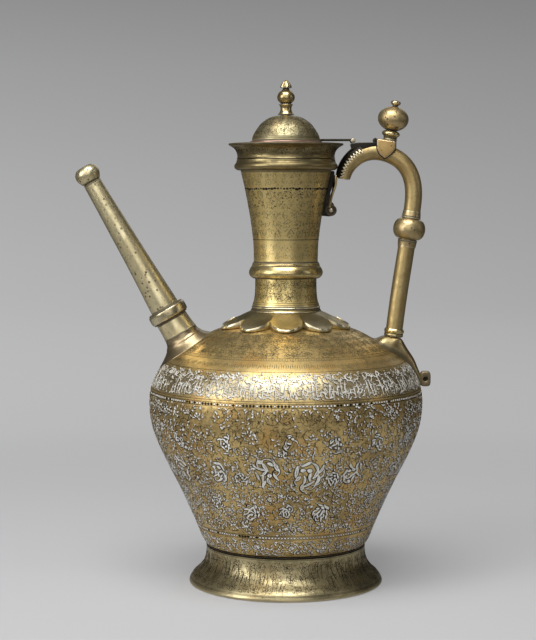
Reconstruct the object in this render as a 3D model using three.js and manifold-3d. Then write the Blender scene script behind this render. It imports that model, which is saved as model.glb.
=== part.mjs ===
// An ibrik: a brass ewer with inlaid silver, its body spun in two curves over a flared foot,
// with a straight spout, an arched tube handle and a small domed lid on a hinge.
// Millimetres, +Z up, the spout towards -X and the handle towards +X.
import * as THREE from 'three';
import { mergeVertices } from 'three/addons/utils/BufferGeometryUtils.js';
import Module from 'manifold-3d';

const wasm = await Module();
wasm.setup();

// Fit and fineness
const clearance = 0.3;
const bodySides = 40;
const neckSides = 26;
const smallSides = 14;
const tubeSides = 12;
const overrun = 6;

// Foot
const footRadius = 73.2;
const footTopRadius = 60.5;
const footHeight = 29.7;
const footWall = 1.8;
const footLedgeRadius = footTopRadius - 9.5;
const footLedgeThickness = 1.5;
const footShares = [
  [0, 0], [0.01, 0.09], [0.14, 0.19], [0.37, 0.29], [0.62, 0.387], [0.8, 0.488], [0.915, 0.586],
  [0.965, 0.707], [1, 1],
];

// Body
const bodyWall = 1.3;
const bodyRadius = 103.4;
const bellyRise = 105.5;
const shoulderRise = 60.3;
const bodyThroatRadius = 38;
const basePlateThickness = 1.5;
const bellyShares = [
  [0, 0], [0.06, 0.037], [0.273, 0.242], [0.758, 0.651], [0.881, 0.768], [0.967, 0.884], [1, 1],
];
const shoulderShares = [
  [0.004, 0.152], [0.025, 0.255], [0.066, 0.36], [0.125, 0.48], [0.232, 0.582], [0.532, 0.806],
  [0.67, 0.894], [0.82, 0.958], [1, 1],
];

// Neck, from the lobed collar on the shoulder to the rim
const neckWall = 1.2;
const neckRadius = 23.3;
const collarBrim = 12;
const collarEdgeHeight = 4.4;
const collarTopBrim = 2.7;
const collarRise = 11.2;
const collarLobes = 10;
const collarStepsPerLobe = 8;
const collarScallop = 11;
const collarFlute = 2.2;
const collarShares = [[0, 0], [0.21, 0.14], [0.36, 0.25], [0.48, 0.37], [0.63, 0.53], [0.75, 0.7], [1, 1]];
const neckBeadProud = 3.9;
const neckBeadHeight = 3.2;
const neckSpigot = 7;
const lowerNeckLength = 20.6;
const neckFootProud = 1.9;
const neckFootHeight = 10;
const neckFootShares = [[1, 0], [0.75, 0.12], [0.42, 0.42], [0.1, 0.78], [0, 1]];
const neckRingProud = 4.4;
const neckRingHeight = 12.2;
const neckTubeProud = 0.9;
const neckTubeSpread = 9.9;
const neckTubeLength = 68.3;
const neckTubeShares = [[0, 0], [0.01, 0.14], [0.165, 0.37], [0.42, 0.6], [0.78, 0.85], [1, 1]];

// Rim and mouth
const rimBeadProud = 4.7;
const rimBeadHeight = 8;
const rimWaistProud = 2.5;
const rimFlareSpread = 5.8;
const rimFlareHeight = 10.2;
const rimFlareShares = [[0, 0], [0, 0.22], [0.17, 0.54], [0.5, 0.83], [1, 1]];
const mouthPlateProud = 0.8;
const mouthPlateThickness = 1.3;

// Lid, turning up about a pin over the handle
const lidRadius = 25.6;
const lidFlangeProud = 1.5;
const lidFlangeThickness = 1.3;
const lidSeat = 1.6;
const lidSkirtClearance = 0.8;
const lidSkirtWall = 1.2;
const lidSkirtDepth = 3;
const lidWall = 1.2;
const lidDomeHeight = 19.3;
const lidHoleRadius = 2.5;
const lidShares = [[0, 0], [0.03, 0.18], [0.13, 0.4], [0.277, 0.64], [0.45, 0.81], [0.68, 0.94], [1, 1]];
const lidFinialRadius = 6.3;
const lidFinialHeight = 25.9;
const lidFinialShank = 3.2;
const lidFinialShares = [
  [0.98, 0], [0.87, 0.03], [0.7, 0.13], [0.81, 0.25], [0.86, 0.285], [0.65, 0.315], [0.9, 0.415], [1, 0.51],
  [0.87, 0.62], [0.48, 0.71], [0.35, 0.757], [0.63, 0.797], [0.67, 0.84], [0.57, 0.883], [0.3, 0.94],
];
const hingeGap = 6.8;
const hingePinRadius = 0.8;
const hingeKnuckleWall = 0.8;
const hingePinHead = 0.6;
const hingeWidth = 11.2;
const lidKnuckleWidth = 5.2;
const lidStrapWidth = 10.6;
const lidStrapThickness = 1.5;

// Handle: one bent tube in two lengths, joined inside the knop
const handleTubeRadius = 6.4;
const handleTubeWall = 1.2;
const handleRimGap = 6.3;
const handleRimDrop = 4.2;
const handleFootRise = 11.8;
const handleFootShare = 0.335;
const handleLineShares = [
  [0, 0.849], [0.027, 0.895], [0.088, 0.936], [0.192, 0.973], [0.339, 0.996], [0.51, 0.996], [0.686, 0.976],
  [0.83, 0.941], [0.931, 0.891], [0.989, 0.826], [1, 0.755], [0.983, 0.69], [0.943, 0.592], [0.886, 0.45],
  [0.817, 0.286], [0.713, 0],
];
const knopHeightShare = 0.583;
const knopRadius = 12;
const knopLength = 15.2;
const knopCollarRadius = 7.3;
const knopCollarLength = 6;
const handleRingRadius = 7.3;
const handleRingLength = 5.8;
const archSteps = 15;
const lowerTubeSteps = 4;

// Saddle under the handle, with an eye at its tail
const saddleWidth = 13.8;
const saddleTailWidth = 7;
const saddleEdge = 1.6;
const saddleThroatRise = 3.9;
const saddleSink = 14;
const saddleEyeRadius = 3.9;
const saddleEyeRise = 5.6;
const saddleEyeCorner = 2.2;
const saddleEyeHole = 1.7;
const saddleEyeWidth = 5;
const saddleEyeStand = 5.9;
const saddleEyeShare = 0.323;
const saddleBack = 11.2;
const saddleShares = [[0.04, 0.93], [0.23, 0.69], [0.515, 0.405], [0.655, 0.17], [0.77, 0.05]];

// Ferrule and finial on top of the arch
const ferruleOffset = 23;
const ferruleWidth = 14.8;
const ferruleRise = 9.2;
const ferruleHeight = 14.4;
const ferruleCheek = 1.5;
const ferruleShares = [[0, 0.46], [0.1, 0.23], [0.38, 0], [0.72, 0.19], [1, 0.46]];
const finialLean = 8.9;
const finialOffset = 9.9;
const finialRingRadius = 6.8;
const finialRingHeight = 7.4;
const finialStemRadius = 2.6;
const finialRingShares = [
  [0.82, 0], [0.72, 0.2], [0.78, 0.42], [1, 0.56], [1, 0.8], [0.76, 0.94], [0.68, 1],
];
const finialBallRadius = 11.6;
const finialBallHeight = 18.5;
const finialBallWall = 1.4;
const finialBallSink = 0.9;
const finialButtonRadius = 3.7;
const finialButtonHeight = 4.6;
const finialButtonShares = [[0.55, 0], [0.62, 0.2], [1, 0.45], [0.92, 0.75], [0.5, 0.95]];
const finialPegRadius = 1.3;
const finialPegLength = 3;

// Hinge bracket on the arch, the toothed strap on its end and the lug it is pinned to
const bracketWidth = 11.2;
const bracketSink = 0.8;
const bracketLip = 1.7;
const bracketLength = 17.6;
const bracketStep = 1.9;
const strapThickness = 1.4;
const strapShare = 0.128;
const strapStartShare = 0.004;
const strapHalfAngle = 62;
const strapTooth = 11;
const strapTeeth = 8;
const strapBarWidth = 6.4;
const strapBarThickness = 2.1;
const strapBarRise = 3.3;
const strapBarShares = [[1, 1], [1, 0.74], [0.46, 0.494], [0.1, 0.25], [0, 0.02]];
const eyeStand = 5.9;
const eyeDrop = 29.7;
const eyeRadius = 4.3;
const strapPinRadius = 1.6;
const strapPinProud = 0.7;
const lugThickness = 2.2;
const lugTopDrop = 1.7;
const lugBottomDrop = 4.5;
const lugSlotRise = 7.5;

// Spout, straight along a leaning axis through the middle of its ring
const spoutLean = 29.9;
const spoutFootShare = 0.437;
const spoutFlareSink = 2.3;
const spoutWall = 1.2;
const spoutRingRadius = 14.9;
const spoutRingLength = 9.2;
const spoutRingEdge = 1.1;
const spoutRingGroove = 0.9;
const spoutSleeveRadius = 12.3;
const spoutWaistRadius = 13.2;
const spoutSleeveLength = 13;
const spoutFlareLength = 13.6;
const spoutFlareReach = 13.4;
const spoutFlareInboardReach = 7.5;
const spoutFlareSideReach = 2.2;
const spoutFlareShares = [[0.02, 0], [0.05, 0.3], [0.14, 0.56], [0.3, 0.75], [0.6, 0.87], [1, 0.95]];
const spoutTubeRadius = 11.1;
const spoutTubeEndRadius = 6.9;
const spoutTubeLength = 109;
const spoutTubeShares = [[0, 0], [0.14, 0.1], [0.38, 0.3], [0.6, 0.5], [0.86, 0.83], [1, 1]];
const spoutBore = 9.6;
const spoutBulbRadius = 9.6;
const spoutBulbLength = 12.6;
const spoutMouthRadius = 3.6;
const spoutBulbShares = [
  [0.74, 0], [0.84, 0.16], [0.97, 0.36], [1, 0.54], [0.92, 0.76], [0.76, 0.91], [0.56, 1],
];

// Finishes
const brass = { color: 0x9c8140, roughness: 0.38, metalness: 0.9 };
const satinBrass = { color: 0xb39a5e, roughness: 0.45, metalness: 0.9 };
const inlaidBrass = { color: 0x8d7a55, roughness: 0.45, metalness: 0.85 };
const darkBrass = { color: 0x4a4234, roughness: 0.55, metalness: 0.8 };
const redBrass = { color: 0x8a5a44, roughness: 0.5, metalness: 0.85 };
const paleBrass = { color: 0xb8a877, roughness: 0.35, metalness: 0.9 };

const ewer = new THREE.Group();

function addPiece(parent, name, geometry, finish) {
  const mesh = new THREE.Mesh(geometry, new THREE.MeshStandardMaterial(finish));
  mesh.name = name;
  parent.add(mesh);
  return mesh;
}

function between(a, b, share) {
  return a + (b - a) * share;
}

// Points [radius, height] from shares of the way between two corners
function outline(start, end, shares) {
  return shares.map(([across, up]) => [between(start[0], end[0], across), between(start[1], end[1], up)]);
}

// Height of an outline where its radius is the one given, the last such place along it
function heightAt(points, radius) {
  let height = points[0][1];
  for (let i = 1; i < points.length; i += 1) {
    const [r0, z0] = points[i - 1];
    const [r1, z1] = points[i];
    if ((r0 - radius) * (r1 - radius) <= 0 && r0 !== r1) {
      height = between(z0, z1, (radius - r0) / (r1 - r0));
    }
  }
  return height;
}

// Radius of an outline at a height, the first such place along it
function radiusAt(points, height) {
  for (let i = 1; i < points.length; i += 1) {
    const [r0, z0] = points[i - 1];
    const [r1, z1] = points[i];
    if ((z0 - height) * (z1 - height) <= 0 && z0 !== z1) {
      return between(r0, r1, (height - z0) / (z1 - z0));
    }
  }
  return height < points[0][1] ? points[0][0] : points[points.length - 1][0];
}

// An outline moved square to itself. Its ends are cut level where it is steep or where that is asked,
// and plumb elsewhere
function offset(points, distance, level = false) {
  return points.map((point, i) => {
    const before = points[Math.max(i - 1, 0)];
    const after = points[Math.min(i + 1, points.length - 1)];
    const run = after[0] - before[0];
    const rise = after[1] - before[1];
    const length = Math.hypot(run, rise);
    let r = point[0] + (rise / length) * distance;
    let z = point[1] - (run / length) * distance;
    if (i === 0 || i === points.length - 1) {
      const slide = level || Math.abs(rise) > Math.abs(run) ? (point[1] - z) / rise : (point[0] - r) / run;
      r += run * slide;
      z += rise * slide;
    }
    return [r, z];
  });
}

// A sheet wall: the outline outside, the same outline moved inwards inside, as one closed section
function wallSection(points, wall, level = false) {
  return [...points, ...offset(points, -wall, level).reverse()];
}

// A closed section turned about the Z axis
function turned(section, sides) {
  const points = section.map(([r, z]) => new THREE.Vector2(Math.max(r, 0), z));
  if (section[0][0] > 0 || section[section.length - 1][0] > 0) {
    points.push(points[0].clone());
  }
  const geometry = new THREE.LatheGeometry(points, sides);
  geometry.rotateX(Math.PI / 2);
  return geometry;
}

// A ring with a plain bore and a rounded face
function beadSection(bore, radius, base, height, steps) {
  const points = [];
  const flat = (radius - bore) / 4;
  for (let i = 0; i <= steps; i += 1) {
    const angle = (Math.PI * i) / steps;
    const bulge = between(bore + flat, radius, Math.sin(angle));
    points.push([bulge, base + (height * (1 - Math.cos(angle))) / 2]);
  }
  return [...points, [bore, base + height], [bore, base]];
}

// A flat plate: an outline in X and Z, its thickness centred on Y
function plate(points, thickness, bevel = 0) {
  const shape = new THREE.Shape(points.map(([x, z]) => new THREE.Vector2(x, z)));
  const geometry = new THREE.ExtrudeGeometry(shape, {
    depth: thickness - 2 * bevel,
    bevelEnabled: bevel > 0,
    bevelThickness: bevel,
    bevelSize: bevel,
    bevelOffset: -bevel,
    bevelSegments: 2,
    curveSegments: 1,
    steps: 1,
  });
  geometry.rotateX(Math.PI / 2);
  geometry.translate(0, thickness / 2 - bevel, 0);
  return geometry;
}

// A round bar across the ewer, along Y
function crossBar(x, z, radius, length, sides = smallSides) {
  const geometry = new THREE.CylinderGeometry(radius, radius, length, sides);
  geometry.translate(x, 0, z);
  return geometry;
}

// Joining and cutting of closed bodies
function toSolid(geometry) {
  const bare = geometry.clone();
  bare.deleteAttribute('normal');
  bare.deleteAttribute('uv');
  const merged = mergeVertices(bare);
  return new wasm.Manifold(new wasm.Mesh({
    numProp: 3,
    vertProperties: merged.attributes.position.array,
    triVerts: new Uint32Array(merged.index.array),
  }));
}

function fromSolid(body) {
  const mesh = body.getMesh();
  const geometry = new THREE.BufferGeometry();
  geometry.setAttribute('position', new THREE.BufferAttribute(mesh.vertProperties, mesh.numProp));
  geometry.setIndex(new THREE.BufferAttribute(mesh.triVerts, 1));
  geometry.computeVertexNormals();
  return geometry;
}

function join(...geometries) {
  return fromSolid(geometries.map(toSolid).reduce((sum, next) => sum.add(next)));
}

function cut(geometry, ...cutters) {
  return fromSolid(cutters.map(toSolid).reduce((rest, cutter) => rest.subtract(cutter), toSolid(geometry)));
}

// A closed skin over a grid of points: rows run round and close on themselves, columns close too
function gridBody(rows) {
  const count = rows[0].length;
  const positions = rows.flat().flatMap((point) => [point.x, point.y, point.z]);
  const index = [];
  for (let i = 0; i < rows.length; i += 1) {
    const next = (i + 1) % rows.length;
    for (let j = 0; j < count; j += 1) {
      const side = (j + 1) % count;
      index.push(i * count + j, i * count + side, next * count + side);
      index.push(i * count + j, next * count + side, next * count + j);
    }
  }
  const geometry = new THREE.BufferGeometry();
  geometry.setAttribute('position', new THREE.Float32BufferAttribute(positions, 3));
  geometry.setIndex(index);
  geometry.computeVertexNormals();
  return geometry;
}

// Foot
const footOutline = outline([footRadius, 0], [footTopRadius, footHeight], footShares);
const footInside = offset(footOutline, -footWall).reverse();
footInside[0] = [footInside[0][0], footHeight - footLedgeThickness];
addPiece(ewer, 'foot_ring', turned([
  ...footOutline,
  [footLedgeRadius, footHeight],
  [footLedgeRadius, footHeight - footLedgeThickness],
  ...footInside,
], bodySides), inlaidBrass);

// Body
const bodyBase = footHeight + clearance;
const bodyBellyHeight = bodyBase + bellyRise;
const bodyThroatHeight = bodyBellyHeight + shoulderRise;
const bodyOutline = [
  ...outline([footTopRadius, bodyBase], [bodyRadius, bodyBellyHeight], bellyShares),
  ...outline([bodyRadius, bodyBellyHeight], [bodyThroatRadius, bodyThroatHeight], shoulderShares),
];
const bodySkin = turned([
  [0, bodyBase - overrun],
  [footTopRadius, bodyBase - overrun],
  ...offset(bodyOutline, clearance),
  [0, bodyThroatHeight + clearance],
], bodySides);
const bodyShell = turned(wallSection(bodyOutline, bodyWall), bodySides);

// The spout stands on the shoulder, its length measured from there along its leaning axis
const spoutAngle = THREE.MathUtils.degToRad(spoutLean);
const spoutStand = spoutRingLength / 2 + spoutSleeveLength + spoutFlareLength - spoutFlareSink;
const spoutFootRadius = between(bodyRadius, bodyThroatRadius, spoutFootShare);
const spoutReach = spoutFootRadius + spoutStand * Math.sin(spoutAngle);
const spoutHeight = heightAt(bodyOutline, spoutFootRadius) + spoutStand * Math.cos(spoutAngle);
const spoutPlace = new THREE.Matrix4().makeTranslation(-spoutReach, 0, spoutHeight)
  .multiply(new THREE.Matrix4().makeRotationY(-spoutAngle));
const spoutFlareBase = -(spoutRingLength / 2 + spoutSleeveLength + spoutFlareLength);
const spoutHole = turned([
  [0, spoutFlareBase - overrun * 2],
  [spoutBore, spoutFlareBase - overrun * 2],
  [spoutBore, 0],
  [0, 0],
], smallSides);
spoutHole.applyMatrix4(spoutPlace);
addPiece(ewer, 'body_shell', cut(bodyShell, spoutHole), inlaidBrass);

const basePlateRadius = radiusAt(offset(bodyOutline, -bodyWall), bodyBase) - clearance;
addPiece(ewer, 'base_plate', turned([
  [0, bodyBase],
  [basePlateRadius, bodyBase],
  [basePlateRadius, bodyBase + basePlateThickness],
  [0, bodyBase + basePlateThickness],
], bodySides), brass);

// Lobed collar: hollow flutes between ridges, its scalloped edge on the shoulder, one lobe to the front
const collarHole = neckRadius + clearance;
const collarRadius = bodyThroatRadius + collarBrim;
const collarTopHeight = bodyThroatHeight + collarRise;
const collarSteps = collarLobes * collarStepsPerLobe;

function collarPoint(r, angle, face, flute) {
  const lobe = Math.abs(Math.cos(((angle + Math.PI / 2) * collarLobes) / 2));
  const outward = (r - collarHole) / (collarRadius - collarHole);
  const radius = r - collarScallop * (1 - lobe) * outward;
  const dip = collarFlute * lobe * Math.sin((Math.PI * outward) / 2) * flute;
  return new THREE.Vector3(radius * Math.cos(angle), radius * Math.sin(angle), face(radius) - dip);
}

const collarSeat = heightAt(bodyOutline, collarRadius) + clearance;
const collarOutside = outline(
  [collarRadius, collarSeat + collarEdgeHeight],
  [neckRadius + collarTopBrim, collarTopHeight],
  collarShares,
);
const collarInside = offset(collarOutside, -neckWall);
const collarOn = (r) => heightAt(bodyOutline, r) + clearance;
const collarOver = (r) => heightAt(collarOutside, r);
const collarUnder = (r) => heightAt(collarInside, r);
const collarRows = [];
for (let i = 0; i < collarSteps; i += 1) {
  const angle = (2 * Math.PI * i) / collarSteps;
  collarRows.push([
    collarPoint(collarRadius, angle, collarOn, 0),
    ...collarOutside.map(([r]) => collarPoint(r, angle, collarOver, 1)),
    collarPoint(collarHole, angle, () => collarTopHeight, 0),
    collarPoint(collarHole, angle, () => collarTopHeight - neckWall, 0),
    ...collarInside.slice(1, -1).reverse().map(([r]) => collarPoint(r, angle, collarUnder, 1)),
    collarPoint(collarRadius - neckWall, angle, collarOn, 0),
  ]);
}
addPiece(ewer, 'neck_collar', gridBody(collarRows.map((row) => row.reverse())), brass);

// Bead and lower neck, its spigot passing down through both
const neckBeadBase = collarTopHeight + clearance;
addPiece(ewer, 'neck_bead', turned(
  beadSection(collarHole, neckRadius + neckBeadProud, neckBeadBase, neckBeadHeight, 4),
  neckSides,
), satinBrass);

const lowerNeckBase = neckBeadBase + neckBeadHeight + clearance;
const neckRingBase = lowerNeckBase + lowerNeckLength;
const neckJoint = neckRingBase + neckRingHeight / 2;
const neckBore = neckRadius - neckWall;
addPiece(ewer, 'lower_neck', turned([
  [neckBore, collarTopHeight - neckSpigot],
  [neckRadius, collarTopHeight - neckSpigot],
  [neckRadius, lowerNeckBase],
  ...outline(
    [neckRadius, lowerNeckBase],
    [neckRadius + neckFootProud, lowerNeckBase + neckFootHeight],
    neckFootShares,
  ),
  [neckRadius, neckJoint - clearance / 2],
  [neckBore, neckJoint - clearance / 2],
], neckSides), inlaidBrass);
addPiece(ewer, 'neck_ring', turned(
  beadSection(collarHole, neckRadius + neckRingProud, neckRingBase, neckRingHeight, 6),
  neckSides,
), satinBrass);

// Neck tube, its ends held in the neck ring and the rim bead
const neckTubeBase = neckRingBase + neckRingHeight + clearance;
const neckTubeTop = neckTubeBase + neckTubeLength;
const neckTubeRadius = neckRadius + neckTubeProud;
const neckTubeTopRadius = neckTubeRadius + neckTubeSpread;
const rimBeadBase = neckTubeTop + clearance;
const rimJoint = rimBeadBase + rimBeadHeight / 2;
const neckOutline = [
  [neckRadius, neckJoint + clearance / 2],
  [neckRadius, neckTubeBase],
  ...outline([neckTubeRadius, neckTubeBase], [neckTubeTopRadius, neckTubeTop], neckTubeShares),
  [neckTubeTopRadius, rimJoint - clearance / 2],
];
addPiece(ewer, 'neck_tube', turned(wallSection(neckOutline, neckWall), neckSides), inlaidBrass);
const rimBeadRadius = neckTubeTopRadius + rimBeadProud;
addPiece(ewer, 'rim_bead', turned(
  beadSection(neckTubeTopRadius + clearance, rimBeadRadius, rimBeadBase, rimBeadHeight, 6),
  neckSides,
), satinBrass);

const rimBase = rimBeadBase + rimBeadHeight + clearance;
const rimTop = rimBase + rimFlareHeight;
const rimWaistRadius = neckTubeTopRadius + rimWaistProud;
const rimFlareRadius = rimWaistRadius + rimFlareSpread;
const rimOutline = [
  [neckTubeTopRadius, rimJoint + clearance / 2],
  [neckTubeTopRadius, rimBase],
  ...outline([rimWaistRadius, rimBase], [rimFlareRadius, rimTop], rimFlareShares),
];
addPiece(ewer, 'rim_flare', turned(wallSection(rimOutline, neckWall, true), neckSides), inlaidBrass);

const mouthPlateBase = rimTop + clearance;
const mouthPlateTop = mouthPlateBase + mouthPlateThickness;
const mouthPlateRadius = rimFlareRadius + mouthPlateProud;
const mouthRadius = lidRadius - lidSeat;
addPiece(ewer, 'mouth_plate', turned([
  [mouthRadius, mouthPlateBase],
  [mouthPlateRadius, mouthPlateBase],
  [mouthPlateRadius, mouthPlateTop],
  [mouthRadius, mouthPlateTop],
], neckSides), darkBrass);

// Lid
const skirtRadius = mouthRadius - lidSkirtClearance;
const skirtBore = skirtRadius - lidSkirtWall;
const flangeBase = mouthPlateTop + clearance;
const flangeTop = flangeBase + lidFlangeThickness;
addPiece(ewer, 'lid_flange', turned([
  [skirtBore, flangeBase - lidSkirtDepth],
  [skirtRadius, flangeBase - lidSkirtDepth],
  [skirtRadius, flangeBase],
  [lidRadius + lidFlangeProud, flangeBase],
  [lidRadius + lidFlangeProud, flangeTop],
  [skirtBore, flangeTop],
], neckSides), redBrass);

const domeBase = flangeTop + clearance;
const domeTop = domeBase + lidDomeHeight;
const domeOutline = outline([lidRadius, domeBase], [lidHoleRadius, domeTop], lidShares);
addPiece(ewer, 'lid_dome', turned(wallSection(domeOutline, lidWall), neckSides), inlaidBrass);

const finialSeat = domeTop + clearance;
addPiece(ewer, 'lid_finial', turned([
  [0, finialSeat - lidFinialShank],
  [lidHoleRadius - clearance, finialSeat - lidFinialShank],
  [lidHoleRadius - clearance, finialSeat],
  ...outline([0, finialSeat], [lidFinialRadius, finialSeat + lidFinialHeight], lidFinialShares),
  [0, finialSeat + lidFinialHeight],
], smallSides), brass);

// Lid strap with the middle knuckle of the hinge
const hingeReach = mouthPlateRadius + hingeGap;
const knuckleBore = hingePinRadius + clearance;
const knuckleRadius = knuckleBore + hingeKnuckleWall;
const strapBase = flangeTop + clearance;
const hingeHeight = strapBase + knuckleRadius - lidStrapThickness - clearance;
const strapReach = hingeReach - knuckleRadius - 2 * clearance;
const strapPlate = plate([
  [lidRadius - overrun, strapBase],
  [strapReach, strapBase],
  [strapReach, strapBase + lidStrapThickness],
  [lidRadius - overrun, strapBase + lidStrapThickness],
], lidStrapWidth);
const strapTongue = plate([
  [strapReach - lidStrapThickness, strapBase],
  [hingeReach, strapBase],
  [hingeReach, strapBase + lidStrapThickness],
  [strapReach - lidStrapThickness, strapBase + lidStrapThickness],
], lidKnuckleWidth);
const domeSweep = turned([
  [0, strapBase - overrun],
  [lidRadius + clearance, strapBase - overrun],
  [lidRadius + clearance, strapBase + overrun],
  [0, strapBase + overrun],
], neckSides);
const strapKnuckle = crossBar(hingeReach, hingeHeight, knuckleRadius, lidKnuckleWidth, tubeSides);
const knuckleHole = crossBar(hingeReach, hingeHeight, knuckleBore, hingeWidth + overrun, tubeSides);
const lidStrap = join(strapPlate, strapTongue, strapKnuckle);
addPiece(ewer, 'lid_strap', cut(lidStrap, domeSweep, knuckleHole), darkBrass);

// Hinge pin, headed at both ends
const pinHalf = hingeWidth / 2 + clearance;
const hingePin = turned([
  [0, -pinHalf - hingePinHead],
  [knuckleRadius - clearance, -pinHalf - hingePinHead],
  [knuckleRadius - clearance, -pinHalf],
  [hingePinRadius, -pinHalf],
  [hingePinRadius, pinHalf],
  [knuckleRadius - clearance, pinHalf],
  [knuckleRadius - clearance, pinHalf + hingePinHead],
  [0, pinHalf + hingePinHead],
], tubeSides);
hingePin.rotateX(Math.PI / 2);
hingePin.translate(hingeReach, 0, hingeHeight);
addPiece(ewer, 'lid_hinge_pin', hingePin, paleBrass);

// The handle's centre line and its tubes
const handleStart = rimBeadRadius + handleRimGap;
const handleTop = rimTop - handleRimDrop;
const handleFootReach = between(bodyRadius, bodyThroatRadius, handleFootShare);
const handleBase = heightAt(bodyOutline, handleFootReach) + handleFootRise;
const handleSpread = (handleFootReach - handleStart) / handleLineShares[handleLineShares.length - 1][0];
const handleEnd = [handleStart + handleSpread, handleTop];
const handlePoints = outline([handleStart, handleBase], handleEnd, handleLineShares);
const handleLine = new THREE.CatmullRomCurve3(handlePoints.map(([x, z]) => new THREE.Vector3(x, 0, z)));
const handleLength = handleLine.getLength();
const jointShare = clearance / 2 / handleLength;

// Share of the line's length at which it comes down to a height on its outer side
function shareAtHeight(height) {
  let high = 0.5;
  let low = 1;
  for (let i = 0; i < 40; i += 1) {
    const middle = (high + low) / 2;
    if (handleLine.getPointAt(middle).z > height) {
      high = middle;
    } else {
      low = middle;
    }
  }
  return high;
}

const knopShare = shareAtHeight(between(handleBase, handleTop, knopHeightShare));

function handleStretch(from, to, steps) {
  const points = [];
  for (let i = 0; i <= steps; i += 1) {
    points.push(handleLine.getPointAt(between(from, to, i / steps)));
  }
  return new THREE.CatmullRomCurve3(points);
}

function circle(radius, sides) {
  const points = [];
  for (let i = 0; i < sides; i += 1) {
    const angle = (2 * Math.PI * (i + 0.5)) / sides;
    points.push(new THREE.Vector2(radius * Math.cos(angle), radius * Math.sin(angle)));
  }
  return points;
}

function tube(path, radius, wall, steps) {
  const shape = new THREE.Shape(circle(radius, tubeSides));
  if (wall > 0) {
    shape.holes.push(new THREE.Path(circle(radius - wall, tubeSides)));
  }
  return new THREE.ExtrudeGeometry(shape, { extrudePath: path, steps, bevelEnabled: false });
}

addPiece(ewer, 'handle_arch', tube(
  handleStretch(0, knopShare - jointShare, archSteps),
  handleTubeRadius,
  handleTubeWall,
  archSteps,
), satinBrass);
addPiece(ewer, 'handle_lower_tube', tube(
  handleStretch(knopShare + jointShare, 1, lowerTubeSteps),
  handleTubeRadius,
  handleTubeWall,
  lowerTubeSteps,
), satinBrass);

// Rings threaded on the handle: each is turned about its own axis and laid along the centre line
function onHandle(share, geometry) {
  const along = handleLine.getTangentAt(share).negate();
  const turn = new THREE.Quaternion().setFromUnitVectors(new THREE.Vector3(0, 0, 1), along);
  geometry.applyQuaternion(turn);
  const place = handleLine.getPointAt(share);
  geometry.translate(place.x, place.y, place.z);
  return geometry;
}

const handleBore = handleTubeRadius + clearance;
const knopStep = (knopLength + knopCollarLength) / 2 + clearance;
const knopSteps = 8;
const knopPoints = [];
for (let i = 0; i <= knopSteps; i += 1) {
  const angle = (Math.PI * i) / knopSteps;
  const rise = -(knopLength / 2) * Math.cos(angle);
  knopPoints.push([between(knopCollarRadius, knopRadius, Math.sin(angle)), rise]);
}
const knopSection = [...knopPoints, [handleBore, knopLength / 2], [handleBore, -knopLength / 2]];
addPiece(ewer, 'handle_knop', onHandle(knopShare, turned(knopSection, smallSides)), satinBrass);
for (const [name, side] of [['knop_upper_collar', -1], ['knop_lower_collar', 1]]) {
  const section = beadSection(handleBore, knopCollarRadius, -knopCollarLength / 2, knopCollarLength, 4);
  const share = knopShare + (side * knopStep) / handleLength;
  addPiece(ewer, name, onHandle(share, turned(section, smallSides)), satinBrass);
}
const ringShare = 1 - (handleRingLength / 2 + clearance) / handleLength;
addPiece(ewer, 'handle_foot_ring', onHandle(ringShare, turned(
  beadSection(handleBore, handleRingRadius, -handleRingLength / 2, handleRingLength, 4),
  smallSides,
)), satinBrass);

// Saddle: a leaf that hugs the shoulder from the handle's foot to its eye
const handleFoot = handleLine.getPointAt(1);
const footAlong = handleLine.getTangentAt(1);
const footTurn = Math.atan2(footAlong.x, -footAlong.z);
const saddleTopX = handleFoot.x + footAlong.x * clearance;
const saddleTopZ = handleFoot.z + footAlong.z * clearance;
const saddleRun = (saddleWidth / 2) * Math.cos(footTurn);
const saddleRise = (saddleWidth / 2) * Math.sin(footTurn);
const saddleRight = [saddleTopX + saddleRun, saddleTopZ + saddleRise];
const saddleLeft = [saddleTopX - saddleRun, saddleTopZ - saddleRise];
const saddleBackReach = saddleTopX - saddleBack;
const saddleEyeHeight = between(bodyBellyHeight, bodyThroatHeight, saddleEyeShare);
const saddleEyeReach = radiusAt(bodyOutline, saddleEyeHeight) + saddleEyeStand;
const eyeTop = [saddleEyeReach, saddleEyeHeight + saddleEyeRadius];
const saddleOutline = [
  saddleLeft,
  [saddleBackReach, saddleLeft[1] - saddleThroatRise],
  [saddleBackReach, saddleLeft[1] - saddleThroatRise - saddleSink],
  [saddleEyeReach - 2 * saddleEyeRadius, saddleEyeHeight - saddleEyeRadius],
  [saddleEyeReach, saddleEyeHeight - saddleEyeRadius],
  eyeTop,
  ...saddleShares.map(([across, up]) => [
    between(saddleRight[0], saddleEyeReach, across),
    between(eyeTop[1], saddleRight[1], up),
  ]).reverse(),
  saddleRight,
];
const saddleLeaf = plate(saddleOutline, saddleWidth, saddleEdge);
const leafPoints = saddleLeaf.attributes.position;
for (let i = 0; i < leafPoints.count; i += 1) {
  const share = THREE.MathUtils.clamp(
    (leafPoints.getX(i) - saddleTopX) / (saddleEyeReach - saddleTopX),
    0,
    1,
  );
  leafPoints.setY(i, (leafPoints.getY(i) * between(saddleWidth, saddleTailWidth, share)) / saddleWidth);
}
const eyeCorners = [[-1, -1], [1, -1], [1, 1], [-1, 1]].flatMap(([side, up]) => {
  const x = saddleEyeReach + side * saddleEyeRadius;
  const z = saddleEyeHeight + up * saddleEyeRise;
  const ends = [[x, z - up * saddleEyeCorner], [x - side * saddleEyeCorner, z]];
  return side * up > 0 ? ends : ends.reverse();
});
const saddleEye = plate(eyeCorners, saddleEyeWidth);
const saddleHole = crossBar(saddleEyeReach, saddleEyeHeight, saddleEyeHole, saddleWidth);
addPiece(ewer, 'handle_saddle', cut(join(saddleLeaf, saddleEye), bodySkin, saddleHole), brass);

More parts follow.
